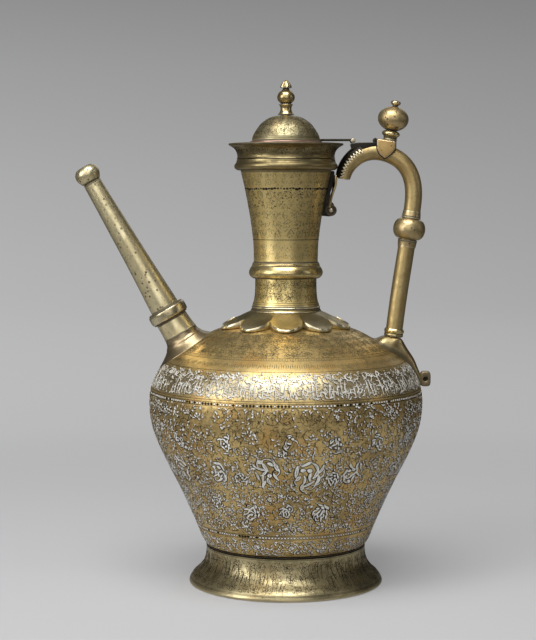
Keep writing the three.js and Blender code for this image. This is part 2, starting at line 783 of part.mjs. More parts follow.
// Ferrule: two shield-shaped cheeks joined over the arch
const archSkin = tube(handleStretch(0, knopShare, archSteps), handleBore, 0, archSteps);
const finialAngle = THREE.MathUtils.degToRad(finialLean);

const ferruleLeft = handleStart + ferruleOffset;
const ferruleTop = handleTop + ferruleRise;

function ferruleCrest(x) {
  return ferruleTop - (x - ferruleLeft) * Math.tan(finialAngle);
}

const ferruleRight = ferruleLeft + ferruleWidth;
const ferruleOutline = [
  [ferruleLeft, ferruleTop],
  ...outline([ferruleLeft, ferruleTop - ferruleHeight], [ferruleRight, ferruleTop], ferruleShares),
  [ferruleRight, ferruleCrest(ferruleRight)],
];
const ferruleDepth = 2 * (handleBore + ferruleCheek);
addPiece(ewer, 'handle_ferrule', cut(plate(ferruleOutline, ferruleDepth), archSkin), paleBrass);

// Finial on the ferrule, leaning away from the lid
const finial = new THREE.Group();
const finialStand = ferruleLeft + finialOffset;
finial.position.set(finialStand, 0, ferruleCrest(finialStand) + clearance / Math.cos(finialAngle));
finial.rotation.y = finialAngle;
ewer.add(finial);

const ballBase = finialRingHeight - finialBallSink + 2 * clearance;
const ballHalf = finialBallHeight / 2;
addPiece(finial, 'finial_ring', turned([
  [0, 0],
  ...outline([0, 0], [finialRingRadius, finialRingHeight], finialRingShares),
  [finialStemRadius, finialRingHeight],
  [finialStemRadius, ballBase + ballHalf],
  [0, ballBase + ballHalf],
], smallSides), satinBrass);

const ballSteps = 8;
const ballPoints = [];
const ballStart = Math.asin((finialStemRadius + clearance) / finialBallRadius);
const ballEnd = Math.PI - Math.asin((finialPegRadius + clearance) / finialBallRadius);
for (let i = 0; i <= ballSteps; i += 1) {
  const angle = between(ballStart, ballEnd, i / ballSteps);
  ballPoints.push([finialBallRadius * Math.sin(angle), ballBase + ballHalf * (1 - Math.cos(angle))]);
}
addPiece(finial, 'finial_ball', turned(wallSection(ballPoints, finialBallWall), smallSides), satinBrass);

const buttonBase = ballBase + finialBallHeight + clearance;
addPiece(finial, 'finial_button', turned([
  [0, buttonBase - finialPegLength],
  [finialPegRadius, buttonBase - finialPegLength],
  [finialPegRadius, buttonBase],
  ...outline([0, buttonBase], [finialButtonRadius, buttonBase + finialButtonHeight], finialButtonShares),
  [0, buttonBase + finialButtonHeight],
], smallSides), paleBrass);

// Hinge bracket: a wedge on the arch with the two outer knuckles
const bracketTop = handleTop + handleTubeRadius;
const bracketBase = handleTop - bracketSink;
const bracketStart = hingeReach - bracketLip;
const bracketEnd = hingeReach + bracketLength;
const bracketWedge = plate([
  [bracketStart, bracketBase],
  [bracketEnd, bracketBase],
  [bracketEnd, bracketTop],
  [hingeReach + bracketStep, bracketTop],
  [hingeReach, hingeHeight],
  [bracketStart, hingeHeight - knuckleRadius],
], bracketWidth);
const bracketKnuckle = crossBar(hingeReach, hingeHeight, knuckleRadius, hingeWidth, tubeSides);
const knuckleGap = crossBar(
  hingeReach,
  hingeHeight,
  knuckleRadius + clearance,
  lidKnuckleWidth + 2 * clearance,
  tubeSides,
);
const strapSkinRadius = handleBore + strapThickness + clearance;
const strapStretch = handleStretch(0, strapShare + 2 * jointShare, archSteps);
const strapSkin = tube(strapStretch, strapSkinRadius, 0, archSteps);
addPiece(ewer, 'hinge_bracket', cut(
  join(bracketWedge, bracketKnuckle),
  archSkin,
  strapSkin,
  knuckleGap,
  knuckleHole,
), darkBrass);

// Toothed strap: a half pipe over the arch's end whose long edges are cut into teeth
const strapSteps = 2 * strapTeeth;
const strapArcSteps = 6;
const strapRows = [];
for (let i = 0; i <= strapSteps; i += 1) {
  const share = between(strapStartShare, strapShare, i / strapSteps);
  const place = handleLine.getPointAt(share);
  const along = handleLine.getTangentAt(share);
  const outward = new THREE.Vector3(-along.z, 0, along.x);
  const across = new THREE.Vector3(0, 1, 0);
  const half = THREE.MathUtils.degToRad(strapHalfAngle + (i % 2 === 0 ? -strapTooth : strapTooth) / 2);
  const ring = [];
  for (const [radius, sign] of [[handleBore + strapThickness, 1], [handleBore, -1]]) {
    for (let j = 0; j <= strapArcSteps; j += 1) {
      const angle = sign * between(-half, half, j / strapArcSteps);
      ring.push(place.clone()
        .addScaledVector(outward, radius * Math.cos(angle))
        .addScaledVector(across, radius * Math.sin(angle)));
    }
  }
  strapRows.push(ring);
}

// A closed skin over rows whose first and last rows are capped flat
function cappedBody(rows) {
  const count = rows[0].length;
  const positions = rows.flat().flatMap((point) => [point.x, point.y, point.z]);
  const index = [];
  const quad = (a, b, c, d) => index.push(a, b, c, a, c, d);
  for (let i = 0; i + 1 < rows.length; i += 1) {
    for (let j = 0; j < count; j += 1) {
      const side = (j + 1) % count;
      quad(i * count + j, (i + 1) * count + j, (i + 1) * count + side, i * count + side);
    }
  }
  const last = (rows.length - 1) * count;
  for (let j = 0; j + 1 < count / 2; j += 1) {
    const far = count - 1 - j;
    quad(j, j + 1, far - 1, far);
    quad(last + far, last + far - 1, last + j + 1, last + j);
  }
  const geometry = new THREE.BufferGeometry();
  geometry.setAttribute('position', new THREE.Float32BufferAttribute(positions, 3));
  geometry.setIndex(index);
  geometry.computeVertexNormals();
  return geometry;
}

const strapPipe = cappedBody(strapRows);

// The strap's bar, down from the pipe to a forked eye
const handleOpenEnd = handleLine.getPointAt(0);
const barTopX = handleOpenEnd.x - handleBore;
const eyeHeight = neckTubeTop - eyeDrop;
const eyeReach = radiusAt(neckOutline.slice(2), eyeHeight) + eyeStand;
const barLine = outline([eyeReach, eyeHeight], [barTopX, handleOpenEnd.z + strapBarRise], strapBarShares);
const lugSlotHeight = eyeHeight + lugSlotRise;
const strapBar = plate([
  ...barLine,
  ...barLine.map(([x, z]) => [x - strapBarThickness, z]).reverse(),
], strapBarWidth);
const strapEye = crossBar(eyeReach, eyeHeight, eyeRadius, strapBarWidth);
const forkGap = plate([
  [eyeReach - 2 * eyeRadius, eyeHeight - 2 * eyeRadius],
  [eyeReach + 2 * eyeRadius, eyeHeight - 2 * eyeRadius],
  [eyeReach + 2 * eyeRadius, lugSlotHeight],
  [eyeReach - 2 * eyeRadius, lugSlotHeight],
], lugThickness + 2 * clearance);
const strapHole = crossBar(eyeReach, eyeHeight, strapPinRadius + clearance, saddleWidth);
addPiece(ewer, 'handle_strap', cut(join(strapPipe, strapBar, strapEye), forkGap, strapHole), darkBrass);

const strapPin = crossBar(eyeReach, eyeHeight, strapPinRadius, strapBarWidth + 2 * strapPinProud);
addPiece(ewer, 'strap_pin', strapPin, paleBrass);

// Lug: a web on the neck that fills the strap's fork
const neckSkin = turned([
  [0, neckOutline[1][1]],
  ...offset(neckOutline.slice(2), clearance),
  [0, neckOutline[neckOutline.length - 1][1]],
], neckSides);
const lugTop = neckTubeTop - lugTopDrop;
const lugBottom = eyeHeight - lugBottomDrop;
const lugSlotTop = lugSlotHeight - clearance;
const lugNose = eyeReach + eyeRadius - 2 * clearance;
const lugBends = barLine.map(([, z]) => z).filter((z) => z > lugSlotTop && z < lugTop).reverse();
const lugHeights = [lugSlotTop, ...lugBends, lugTop];
const lugOutline = [
  [neckRadius, lugBottom],
  [eyeReach, lugBottom],
  [lugNose, eyeHeight],
  [lugNose, lugSlotTop],
  ...lugHeights.map((z) => [radiusAt(barLine, z) - strapBarThickness - clearance, z]),
  [neckRadius, lugTop],
];
addPiece(ewer, 'neck_lug', cut(plate(lugOutline, lugThickness), neckSkin, strapHole), darkBrass);

// Spout, in its own frame along its axis with the ring's middle at the origin
const spout = new THREE.Group();
spout.position.set(-spoutReach, 0, spoutHeight);
spout.rotation.y = -spoutAngle;
ewer.add(spout);

const ringHalf = spoutRingLength / 2;
const spoutJoint = 0;
const sleeveTop = -ringHalf - clearance;
const sleeveBase = sleeveTop - spoutSleeveLength;
const tubeBase = ringHalf + clearance;
const ringBore = spoutTubeRadius + clearance;
addPiece(spout, 'spout_ring', turned([
  [ringBore, -ringHalf],
  [spoutRingRadius - spoutRingGroove, -ringHalf],
  [spoutRingRadius - spoutRingGroove, -ringHalf + spoutRingEdge],
  [spoutRingRadius, -ringHalf + 2 * spoutRingEdge],
  [spoutRingRadius, ringHalf - 2 * spoutRingEdge],
  [spoutRingRadius - spoutRingGroove, ringHalf - spoutRingEdge],
  [spoutRingRadius - spoutRingGroove, ringHalf],
  [ringBore, ringHalf],
], smallSides), paleBrass);

const tubeTop = tubeBase + spoutTubeLength;
const spoutTubeOutline = [
  [spoutTubeRadius, spoutJoint + clearance / 2],
  ...outline([spoutTubeRadius, tubeBase], [spoutTubeEndRadius, tubeTop], spoutTubeShares),
];
addPiece(spout, 'spout_tube', turned(wallSection(spoutTubeOutline, spoutWall), smallSides), satinBrass);

const spoutSleeveOutline = [
  [spoutWaistRadius, sleeveBase],
  [spoutSleeveRadius, sleeveTop],
  [spoutTubeRadius, sleeveTop],
  [spoutTubeRadius, spoutJoint - clearance / 2],
];
addPiece(spout, 'spout_sleeve', turned([
  ...spoutSleeveOutline,
  [spoutBore, spoutJoint - clearance / 2],
  [spoutBore, sleeveBase],
], smallSides), satinBrass);

// Flared base: a skirt that reaches further down the outside of the shoulder
const flareTop = sleeveBase - clearance;
const flareSteps = neckSides;
const flareRows = [];
for (let i = 0; i < flareSteps; i += 1) {
  const angle = (2 * Math.PI * i) / flareSteps;
  const outboard = ((1 - Math.cos(angle)) / 2) ** 3;
  const inboard = ((1 + Math.cos(angle)) / 2) ** 3;
  const reach = spoutFlareSideReach + (spoutFlareReach - spoutFlareSideReach) * outboard
    + (spoutFlareInboardReach - spoutFlareSideReach) * inboard;
  const ring = spoutFlareShares.map(([across, down]) => [
    spoutWaistRadius + reach * across,
    flareTop - spoutFlareLength * down,
  ]);
  ring.push([ring[ring.length - 1][0], flareTop - spoutFlareLength - overrun * 2]);
  ring.push([spoutBore, flareTop - spoutFlareLength - overrun * 2]);
  ring.push([spoutBore, flareTop]);
  flareRows.push(ring.map(([r, z]) => new THREE.Vector3(r * Math.cos(angle), r * Math.sin(angle), z)));
}
const spoutBack = spoutPlace.clone().invert();
const bodySkinAtSpout = bodySkin.clone().applyMatrix4(spoutBack);
addPiece(spout, 'spout_base', cut(gridBody(flareRows), bodySkinAtSpout), brass);

const bulbBase = tubeTop + clearance;
addPiece(spout, 'spout_tip', turned([
  ...outline([0, bulbBase], [spoutBulbRadius, bulbBase + spoutBulbLength], spoutBulbShares),
  [spoutMouthRadius, bulbBase + spoutBulbLength],
  [spoutMouthRadius, bulbBase],
], smallSides), satinBrass);

// The origin is under the middle of the ewer's box, on the face it stands on
ewer.updateMatrixWorld(true);
const box = new THREE.Box3().setFromObject(ewer, true);
ewer.position.x = -(box.min.x + box.max.x) / 2;
ewer.position.y = -(box.min.y + box.max.y) / 2;

const model = new THREE.Group();
model.add(ewer);

export default model;
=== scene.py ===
import math
import bpy
import numpy as np
from mathutils import Matrix, Vector


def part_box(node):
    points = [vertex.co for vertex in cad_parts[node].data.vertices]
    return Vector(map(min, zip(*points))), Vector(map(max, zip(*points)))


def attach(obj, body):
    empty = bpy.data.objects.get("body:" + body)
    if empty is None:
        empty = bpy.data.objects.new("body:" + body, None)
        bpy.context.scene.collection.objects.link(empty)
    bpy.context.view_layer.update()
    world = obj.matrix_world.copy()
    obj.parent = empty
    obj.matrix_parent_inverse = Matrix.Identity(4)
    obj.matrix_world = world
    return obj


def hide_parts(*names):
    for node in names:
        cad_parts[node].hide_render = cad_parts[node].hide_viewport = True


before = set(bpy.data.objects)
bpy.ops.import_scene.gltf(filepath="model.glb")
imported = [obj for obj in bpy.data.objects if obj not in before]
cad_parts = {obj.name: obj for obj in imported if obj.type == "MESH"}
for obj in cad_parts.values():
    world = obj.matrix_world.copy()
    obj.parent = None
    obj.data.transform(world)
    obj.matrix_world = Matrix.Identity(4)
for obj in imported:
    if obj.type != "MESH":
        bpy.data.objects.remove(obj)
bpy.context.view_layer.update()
mm = 0.001
full = 2 * math.pi
footBoxLow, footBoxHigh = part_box("foot_ring")
axisX = (footBoxLow.x + footBoxHigh.x) / 2 / mm      # the vessel's axis, in mm from the row's origin
print("frame loaded, vessel axis at", round(axisX, 2), "mm")


# curves and outlines, all in mm
def around(count):
    # even angles once round
    return np.arange(count) * full / count


def runs(line):
    # the length of the line from its start to each of its points
    return np.concatenate([[0], np.cumsum(np.linalg.norm(np.diff(line, axis=0), axis=1))])


def headings(line):
    # unit direction of the line at each point, from the points beside it
    d = np.gradient(line, axis=0)
    return d / np.linalg.norm(d, axis=1)[:, None]


def smoothThrough(points, count):
    # natural cubic spline through the points, run by chord length and sampled evenly
    p = np.asarray(points, float)
    t = runs(p)
    h = np.diff(t)
    n = len(t)
    a = np.eye(n)
    b = np.zeros_like(p)
    inner = np.arange(1, n - 1)
    a[inner, inner - 1] = h[:-1]
    a[inner, inner] = 2 * (h[:-1] + h[1:])
    a[inner, inner + 1] = h[1:]
    b[inner] = 6 * ((p[2:] - p[1:-1]) / h[1:, None] - (p[1:-1] - p[:-2]) / h[:-1, None])
    m = np.linalg.solve(a, b)
    x = np.linspace(0, t[-1], count)
    i = np.clip(np.searchsorted(t, x, side="right") - 1, 0, n - 2)
    u, v, k = (x - t[i])[:, None], (t[i + 1] - x)[:, None], h[i][:, None]
    low, high = (p[i] / k - m[i] * k / 6) * v, (p[i + 1] / k - m[i + 1] * k / 6) * u
    return (m[i] * v**3 + m[i + 1] * u**3) / (6 * k) + low + high


def between(start, end, shares):
    # points at shares of the way between two corners
    a, b, s = np.asarray(start, float), np.asarray(end, float), np.asarray(shares, float)
    return a + (b - a) * s


def rounded(corners, radius, steps=4):
    # every corner of a closed outline becomes a curve that leaves and meets its two sides
    p = np.asarray(corners, float)
    back, on = np.roll(p, 1, 0) - p, np.roll(p, -1, 0) - p
    backLength, onLength = np.linalg.norm(back, axis=1), np.linalg.norm(on, axis=1)
    reach = np.minimum(radius, 0.45 * np.minimum(backLength, onLength))[:, None]
    a, c = p + back / backLength[:, None] * reach, p + on / onLength[:, None] * reach
    t = np.linspace(0, 1, steps + 1)[None, :, None]
    return ((1 - t)**2 * a[:, None] + 2 * t * (1 - t) * p[:, None] + t**2 * c[:, None]).reshape(-1, 2)


def densified(points, step, closed=True):
    # extra points on the long sides, so that smooth shading stays by the corners
    p = np.asarray(points, float)
    line = np.vstack([p, p[:1]]) if closed else p
    t = runs(line)
    extra = np.arange(step, t[-1], step)
    near = np.abs(extra[:, None] - t[None, :]).min(1)
    where = np.sort(np.concatenate([t, extra[near > step / 3]]))
    out = np.stack([np.interp(where, t, line[:, k]) for k in (0, 1)], 1)
    return out[:-1] if closed else out


def eased(corners, radius, step, steps=3):
    # a closed section with rounded corners and extra points on its sides
    return densified(rounded(corners, radius, steps), step)


def inside(points, wall):
    # the outline moved square to itself by the wall, towards the axis
    p, d = np.asarray(points, float), headings(np.asarray(points, float))
    return np.stack([p[:, 0] - d[:, 1] * wall, p[:, 1] + d[:, 0] * wall], 1)


def walled(points, wall):
    # a sheet's section: the outline, then back along its inside
    return np.vstack([points, inside(points, wall)[::-1]])


def headed(corners, radius):
    # a pin's open line from end to end on its axis: the lower corners eased, the upper ones their mirror image
    low = np.asarray(corners, float)
    line = rounded(np.vstack([low, (low * [1, -1])[::-1]]), radius)[4:-4]
    return np.vstack([[(0, low[0, 1])], line, [(0, -low[0, 1])]])


def turnedKnob(corners, radius, step):
    # a knob's open line with eased corners, starting and ending on its axis
    p = np.array(corners, float)
    return np.vstack([p[:1], densified(rounded(p, radius, 3)[2:-4], step, closed=False), p[-1:]])


# meshes
def standing(leanDegrees, x, z):
    # a turned piece's own axis laid in the ewer: leaned in the XZ plane, its origin at (x, z)
    return Matrix.Translation((x, 0, z)) @ Matrix.Rotation(math.radians(leanDegrees), 4, "Y")


def across(x, z):
    # a turned piece laid along Y
    return Matrix.Translation((x, 0, z)) @ Matrix.Rotation(math.radians(90), 4, "X")


def placed(points, place):
    # points turned and moved by a place
    m = np.array(place)
    return points @ m[:3, :3].T + m[:3, 3]


def gridQuads(rows, columns, closedRows=False, closedColumns=True):
    # corner numbers of the squares of a grid of points, row after row
    lines = np.arange(rows if closedRows else rows - 1), np.arange(columns if closedColumns else columns - 1)
    i, j = np.meshgrid(*lines, indexing="ij")
    up, side = (i + 1) % rows, (j + 1) % columns
    corners = [i * columns + j, i * columns + side, up * columns + side, up * columns + j]
    return np.stack(corners, -1).reshape(-1, 4)


def finishMesh(name, points, quads, others, look, body, wear=None, sharp=38, node=None):
    # points in mm from the vessel's axis; quads and others hold corner numbers, wear a value for each point
    mesh = bpy.data.meshes.new(name)
    co = (np.asarray(points, float).reshape(-1, 3) + [axisX, 0, 0]) * mm
    loops = np.concatenate([quads.ravel(), *others])
    sizes = np.concatenate([np.full(len(quads), 4), [len(o) for o in others]]).astype(np.int32)
    mesh.vertices.add(len(co))
    mesh.vertices.foreach_set("co", co.astype(np.float32).ravel())
    mesh.loops.add(len(loops))
    mesh.loops.foreach_set("vertex_index", loops.astype(np.int32))
    mesh.polygons.add(len(sizes))
    mesh.polygons.foreach_set("loop_start", (np.cumsum(sizes) - sizes).astype(np.int32))
    mesh.polygons.foreach_set("loop_total", sizes)
    mesh.update(calc_edges=True)
    for key, values in (wear or {}).items():
        attribute = mesh.attributes.new(key, "FLOAT", "POINT")
        attribute.data.foreach_set("value", np.asarray(values, np.float32))
    mesh.shade_smooth()
    mesh.set_sharp_from_angle(angle=math.radians(sharp))
    mesh.materials.append(finishes[look])
    piece = bpy.data.objects.new(name, mesh)
    bpy.context.scene.collection.objects.link(piece)
    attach(piece, body)
    if node:
        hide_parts(node)


def wornEdges(line, closed, reach=1.2):
    # how much the section turns outwards (edge) or inwards (a crease) near each of its points; creases are
    # later darkened, as dirt and as painted shade
    p = np.asarray(line, float)
    back = p - np.roll(p, 1, 0)
    on = np.roll(p, -1, 0) - p
    onLength = np.linalg.norm(on, axis=1) + 1e-9
    turn = np.arctan2(back[:, 0] * on[:, 1] - back[:, 1] * on[:, 0], (back * on).sum(1))
    if not closed:
        turn[[0, -1]] = 0
    run = np.concatenate([[0], np.cumsum(onLength[:-1])])
    gap = np.abs(run[:, None] - run[None, :])
    if closed:
        gap = np.minimum(gap, run[-1] + onLength[-1] - gap)
    near = np.exp(-(gap / (reach / 2))**2)
    edge, hollow = near @ np.clip(turn, 0, None), near @ np.clip(-turn, 0, None)
    return np.clip(edge / 1.1, 0, 1), np.clip(hollow / 0.9, 0, 1)


# fourteen waves of the hammered sheet: whole turns round it, change with height, and where each starts
waves = np.random.default_rng(7)
waveTurns = waves.integers(1, 7, 14)
waveRise = waves.uniform(-0.09, 0.09, 14)
wavePhase = waves.uniform(0, full, 14)


def handMade(angle, height, depth):
    # slow swells of the hammered sheet: a sum of sine waves round the piece and up it
    total = sum(np.sin(t * angle + rise * height + p) for t, rise, p in zip(waveTurns, waveRise, wavePhase))
    return depth * total / 4


def turnedPiece(name, node, line, sides, look, slot, place=None, body="ewer", closed=True, swell=0, warp=None,
                seams=(), rubs=()):
    # surface of revolution: each point of the section carried round the axis; an open line ends on the axis;
    # creases and the seams (height, reach) are darkened, as dirt and as painted shade where parts meet;
    # handling has brightened the rubs (height, reach, share)
    line = np.asarray(line, float)
    edge, hollow = wornEdges(line, closed)
    for height, reach in seams:
        hollow = np.maximum(hollow, np.exp(-((line[:, 1] - height) / reach)**2))
    for height, reach, share in rubs:
        edge = np.maximum(edge, share * np.exp(-((line[:, 1] - height) / reach)**4))
    shown = slice(None) if closed else slice(1, -1)
    rows, wear = line[shown], [np.repeat(w[shown], sides) for w in (edge, hollow)]
    angle = around(sides)
    r, z = (np.repeat(rows[:, k:k + 1], sides, 1) for k in (0, 1))
    if swell:
        r = r + handMade(angle[None, :], z, swell)
    if warp:
        r, z = warp(r, z, angle[None, :])
    grid = np.stack([r * np.cos(angle), r * np.sin(angle), z], -1).reshape(-1, 3)
    others = []
    if not closed:
        k, on, low, last = np.arange(sides), np.roll(np.arange(sides), -1), len(grid), len(grid) - sides
        grid = np.vstack([grid, [[0, 0, line[0, 1]], [0, 0, line[-1, 1]]]])
        others = list(np.stack([np.full(sides, low), on, k], 1))
        others += list(np.stack([np.full(sides, low + 1), last + k, last + on], 1))
        wear = [np.append(w, [0, 0]) for w in wear]
    if place is not None:
        grid = placed(grid, place)
    wear = dict(zip(("edge", "hollow"), wear))
    finishMesh(name, grid, gridQuads(len(rows), sides, closed), others, look, body, wear, node=node)


def shellPiece(name, node, outer, inner, look, slot, ring=False, sharp=60, **wear):
    # two grids of points, outside and inside, closed along their borders; ring closes the second direction
    rows, count = outer.shape[:2]
    half, last = rows * count, (rows - 1) * count
    faces = gridQuads(rows, count, False, ring)
    k = np.arange(count if ring else count - 1)
    n = (k + 1) % count
    quads = [faces, faces[:, [0, 3, 2, 1]] + half, np.stack([k, k + half, n + half, n], -1)]
    quads.append(np.stack([last + n, last + n + half, last + k + half, last + k], -1))
    if not ring:
        k = np.arange(rows - 1) * count
        quads.append(np.stack([k, k + count, k + count + half, k + half], -1))
        k = k + count - 1
        quads.append(np.stack([k, k + half, k + count + half, k + count], -1))
    points = np.concatenate([outer.reshape(-1, 3), inner.reshape(-1, 3)])
    wear = {key: np.concatenate([values.ravel(), 0 * values.ravel()]) for key, values in wear.items()}
    finishMesh(name, points, np.concatenate(quads), [], look, "ewer", wear, sharp, node)


def slabPiece(name, node, corners, thickness, look, bevel=0.4, radius=0.8, body="ewer"):
    # a flat plate: its outline in X and Z with rounded corners, its thickness along Y, all edges eased
    line = rounded(corners, radius)
    on, back = np.roll(line, -1, 0) - line, line - np.roll(line, 1, 0)
    on /= np.linalg.norm(on, axis=1)[:, None] + 1e-9
    back /= np.linalg.norm(back, axis=1)[:, None] + 1e-9
    out = np.stack([(on + back)[:, 1], -(on + back)[:, 0]], 1)
    out /= np.linalg.norm(out, axis=1)[:, None] + 1e-9
    if (line[:, 0] * np.roll(line[:, 1], -1) - np.roll(line[:, 0], -1) * line[:, 1]).sum() < 0:
        line, out = line[::-1], -out[::-1]
    turn = np.linspace(0, math.pi / 2, 4)
    inset, deep = bevel * (1 - np.sin(turn)), thickness / 2 - bevel * (1 - np.cos(turn))
    levels = list(zip(inset, -deep)) + list(zip(inset[::-1], deep[::-1]))
    rings = [np.insert(line - out * a, 1, y, axis=1) for a, y in levels]
    count = len(line)
    others = [np.arange(count)[::-1], (len(rings) - 1) * count + np.arange(count)]
    wear = {"edge": np.repeat([0.1, 0.7] + [1.0] * (len(rings) - 4) + [0.7, 0.1], count)}
    finishMesh(name, np.concatenate(rings), gridQuads(len(rings), count), others, look, body, wear,
               node=node)


# finishes
class Wire:
    # a socket of a finish, so that sums on it can be written out
    def __init__(self, finish, socket):
        self.finish, self.socket = finish, socket

    def sum(self, operation, *values):
        # a sum of any kind over values or wires
        return self.finish.add("ShaderNodeMath", {"operation": operation}, dict(enumerate(values)))

    def __add__(self, other):
        return self.sum("ADD", self, other)

    def __sub__(self, other):
        return self.sum("SUBTRACT", self, other)

    def __rsub__(self, other):
        return self.sum("SUBTRACT", other, self)

    def __mul__(self, other):
        return self.sum("MULTIPLY", self, other)

    def __pow__(self, other):
        return self.sum("POWER", self, other)

    __radd__, __rmul__ = __add__, __mul__


class Finish:
    # a material on the plain shader, with a word for each kind of node that the finishes use
    def __init__(self, name):
        self.material = bpy.data.materials.new(name)
        self.material.use_nodes = True
        self.tree = self.material.node_tree
        self.shader = self.tree.nodes["Principled BSDF"]
        self.output = self.tree.nodes["Material Output"]

    def add(self, kind, settings=None, values=None, out=0):
        # a node of any kind: settings first, then the values or wires of its sockets
        node = self.tree.nodes.new(kind)
        for key, value in (settings or {}).items():
            setattr(node, key, value)
        for key, value in (values or {}).items():
            self.feed(node.inputs[key], value)
        return Wire(self, node.outputs[out])

    def feed(self, socket, value):
        # a wire is linked, a plain value is set, and a colour of three parts gets full cover
        if isinstance(value, Wire):
            self.tree.links.new(value.socket, socket)
        elif isinstance(value, tuple) and len(value) == 3 and socket.type == "RGBA":
            socket.default_value = (*value, 1)
        else:
            socket.default_value = value

    def ramp(self, share, stops):
        # colours at stops along a share, blended in between
        wire = self.add("ShaderNodeValToRGB", {}, {0: share})
        elements = wire.socket.node.color_ramp.elements
        for n, (position, colour) in enumerate(stops):
            stop = elements[n] if n < 2 else elements.new(position)
            stop.position, stop.color = position, (*colour, 1)
        return wire

    def place(self):
        # the place on the piece, in metres
        return self.add("ShaderNodeTexCoord", out="Object")

    def noise(self, place, scale, detail=3, roughness=0.55, warp=0):
        # cloudy noise from 0 to 1, its scale in cells to the metre
        values = {"Vector": place, "Scale": scale, "Detail": detail, "Roughness": roughness,
                  "Distortion": warp}
        return self.add("ShaderNodeTexNoise", {}, values)

    def step(self, value, low, high):
        # 0 up to the low value, 1 from the high one, smooth in between
        return self.add("ShaderNodeMapRange", {"interpolation_type": "SMOOTHSTEP"},
                        {0: value, 1: low, 2: high})

    def colours(self, share, first, second):
        # the first colour turned into the second by a share
        return self.add("ShaderNodeMix", {"data_type": "RGBA"}, {0: share, 6: first, 7: second}, out=2)

    def attribute(self, name):
        # a value that the mesh holds for each point
        return self.add("ShaderNodeAttribute", {"attribute_name": name}, out="Fac")

    def bump(self, height, distance, strength):
        # slopes of a height map, which tilt the shading
        return self.add("ShaderNodeBump", {}, {"Height": height, "Distance": distance, "Strength": strength})

    def set(self, **values):
        # feeds the plain shader's sockets; an underscore stands for the space in a socket's name
        for key, value in values.items():
            self.feed(self.shader.inputs[key.replace("_", " ")], value)
        return self.material


def brassFinish(name, look):
    # worn metal: clean and stained tones in broad clouds, dirt and painted shade in creases and at seams,
    # rubbed edges, pits, fine scratches, and painted shade on the sides that turn away where a look asks for it
    f = Finish(name)
    place = f.place()
    cloud = f.noise(place, look["cloudScale"], 4, 0.6, 0.4)
    mottle = f.noise(place, look["mottleScale"], 5, 0.65)
    fine = f.noise(place, 1600, 2, 0.6)
    stain = f.step(cloud * 0.6 + mottle * 0.4, 0.42, 0.62)
    colour = f.colours(stain * look["stainShare"], look["metal"], look["stain"])
    patch = f.step(f.noise(place, look["cloudScale"] * 1.7, 3, 0.5), 0.5, 0.72)
    colour = f.colours(patch * look["warmShare"], colour, look["warm"])
    edge, hollow = f.attribute("edge"), f.attribute("hollow")
    rubbed = f.step(edge + (mottle - 0.5) * 0.9, 0.25, 0.95) * look["edgeShare"]
    colour = f.colours(rubbed, colour, look["bright"])
    # darkened in creases and at seams: partly dirt, partly painted shade where parts meet and under overhangs
    dirtAndShade = f.step(hollow + (mottle - 0.5) * 0.5, 0.2, 0.8) * look["dirtAndShadeShare"]
    spots = f.add("ShaderNodeTexVoronoi", {}, {"Vector": place, "Scale": look["pitScale"], "Randomness": 1.0})
    share = look["pitShare"]
    pitted = f.step(f.noise(place, look["pitScale"] * 0.16, 2), 0.62 - 0.2 * share, 0.75 - 0.1 * share)
    pits = f.step(spots + (fine - 0.5) * 0.12, look["pitSize"], look["pitSize"] * 0.5) * pitted
    speckFrom = look["speckFrom"]
    specks = f.step(f.noise(place, 900, 3, 0.7), speckFrom, speckFrom + 0.08) * look["speckShare"]
    dark = f.add("ShaderNodeMath", {"operation": "MAXIMUM", "use_clamp": True}, {
        0: pits.sum("MAXIMUM", pits, dirtAndShade), 1: specks})
    colour = f.colours(dark * 0.9, colour, look["dirtAndShade"])
    if look["sideShade"]:
        # painted shade: the sides that turn away are darkened towards the stain colour, standing in for the
        # dark surroundings they reflect
        away = f.add("ShaderNodeLayerWeight", values={"Blend": 0.5}, out="Facing")
        colour = f.colours(f.step(away, 0.45, 1.0) * look["sideShade"], colour, look["stain"])
    rough = look["rough"] + (mottle - 0.5) * 0.22 + (fine - 0.5) * 0.1
    rough = rough - rubbed * 0.1 + dark * 0.25 + stain * 0.06
    relief = mottle * look["dent"] + fine * 0.05 - pits * 0.6 - specks * 0.2
    return f.set(
        Base_Color=colour,
        Roughness=rough,
        Metallic=look["metallic"] - dark * 0.55,
        Normal=f.bump(relief, 0.00022, look["relief"]),
    )


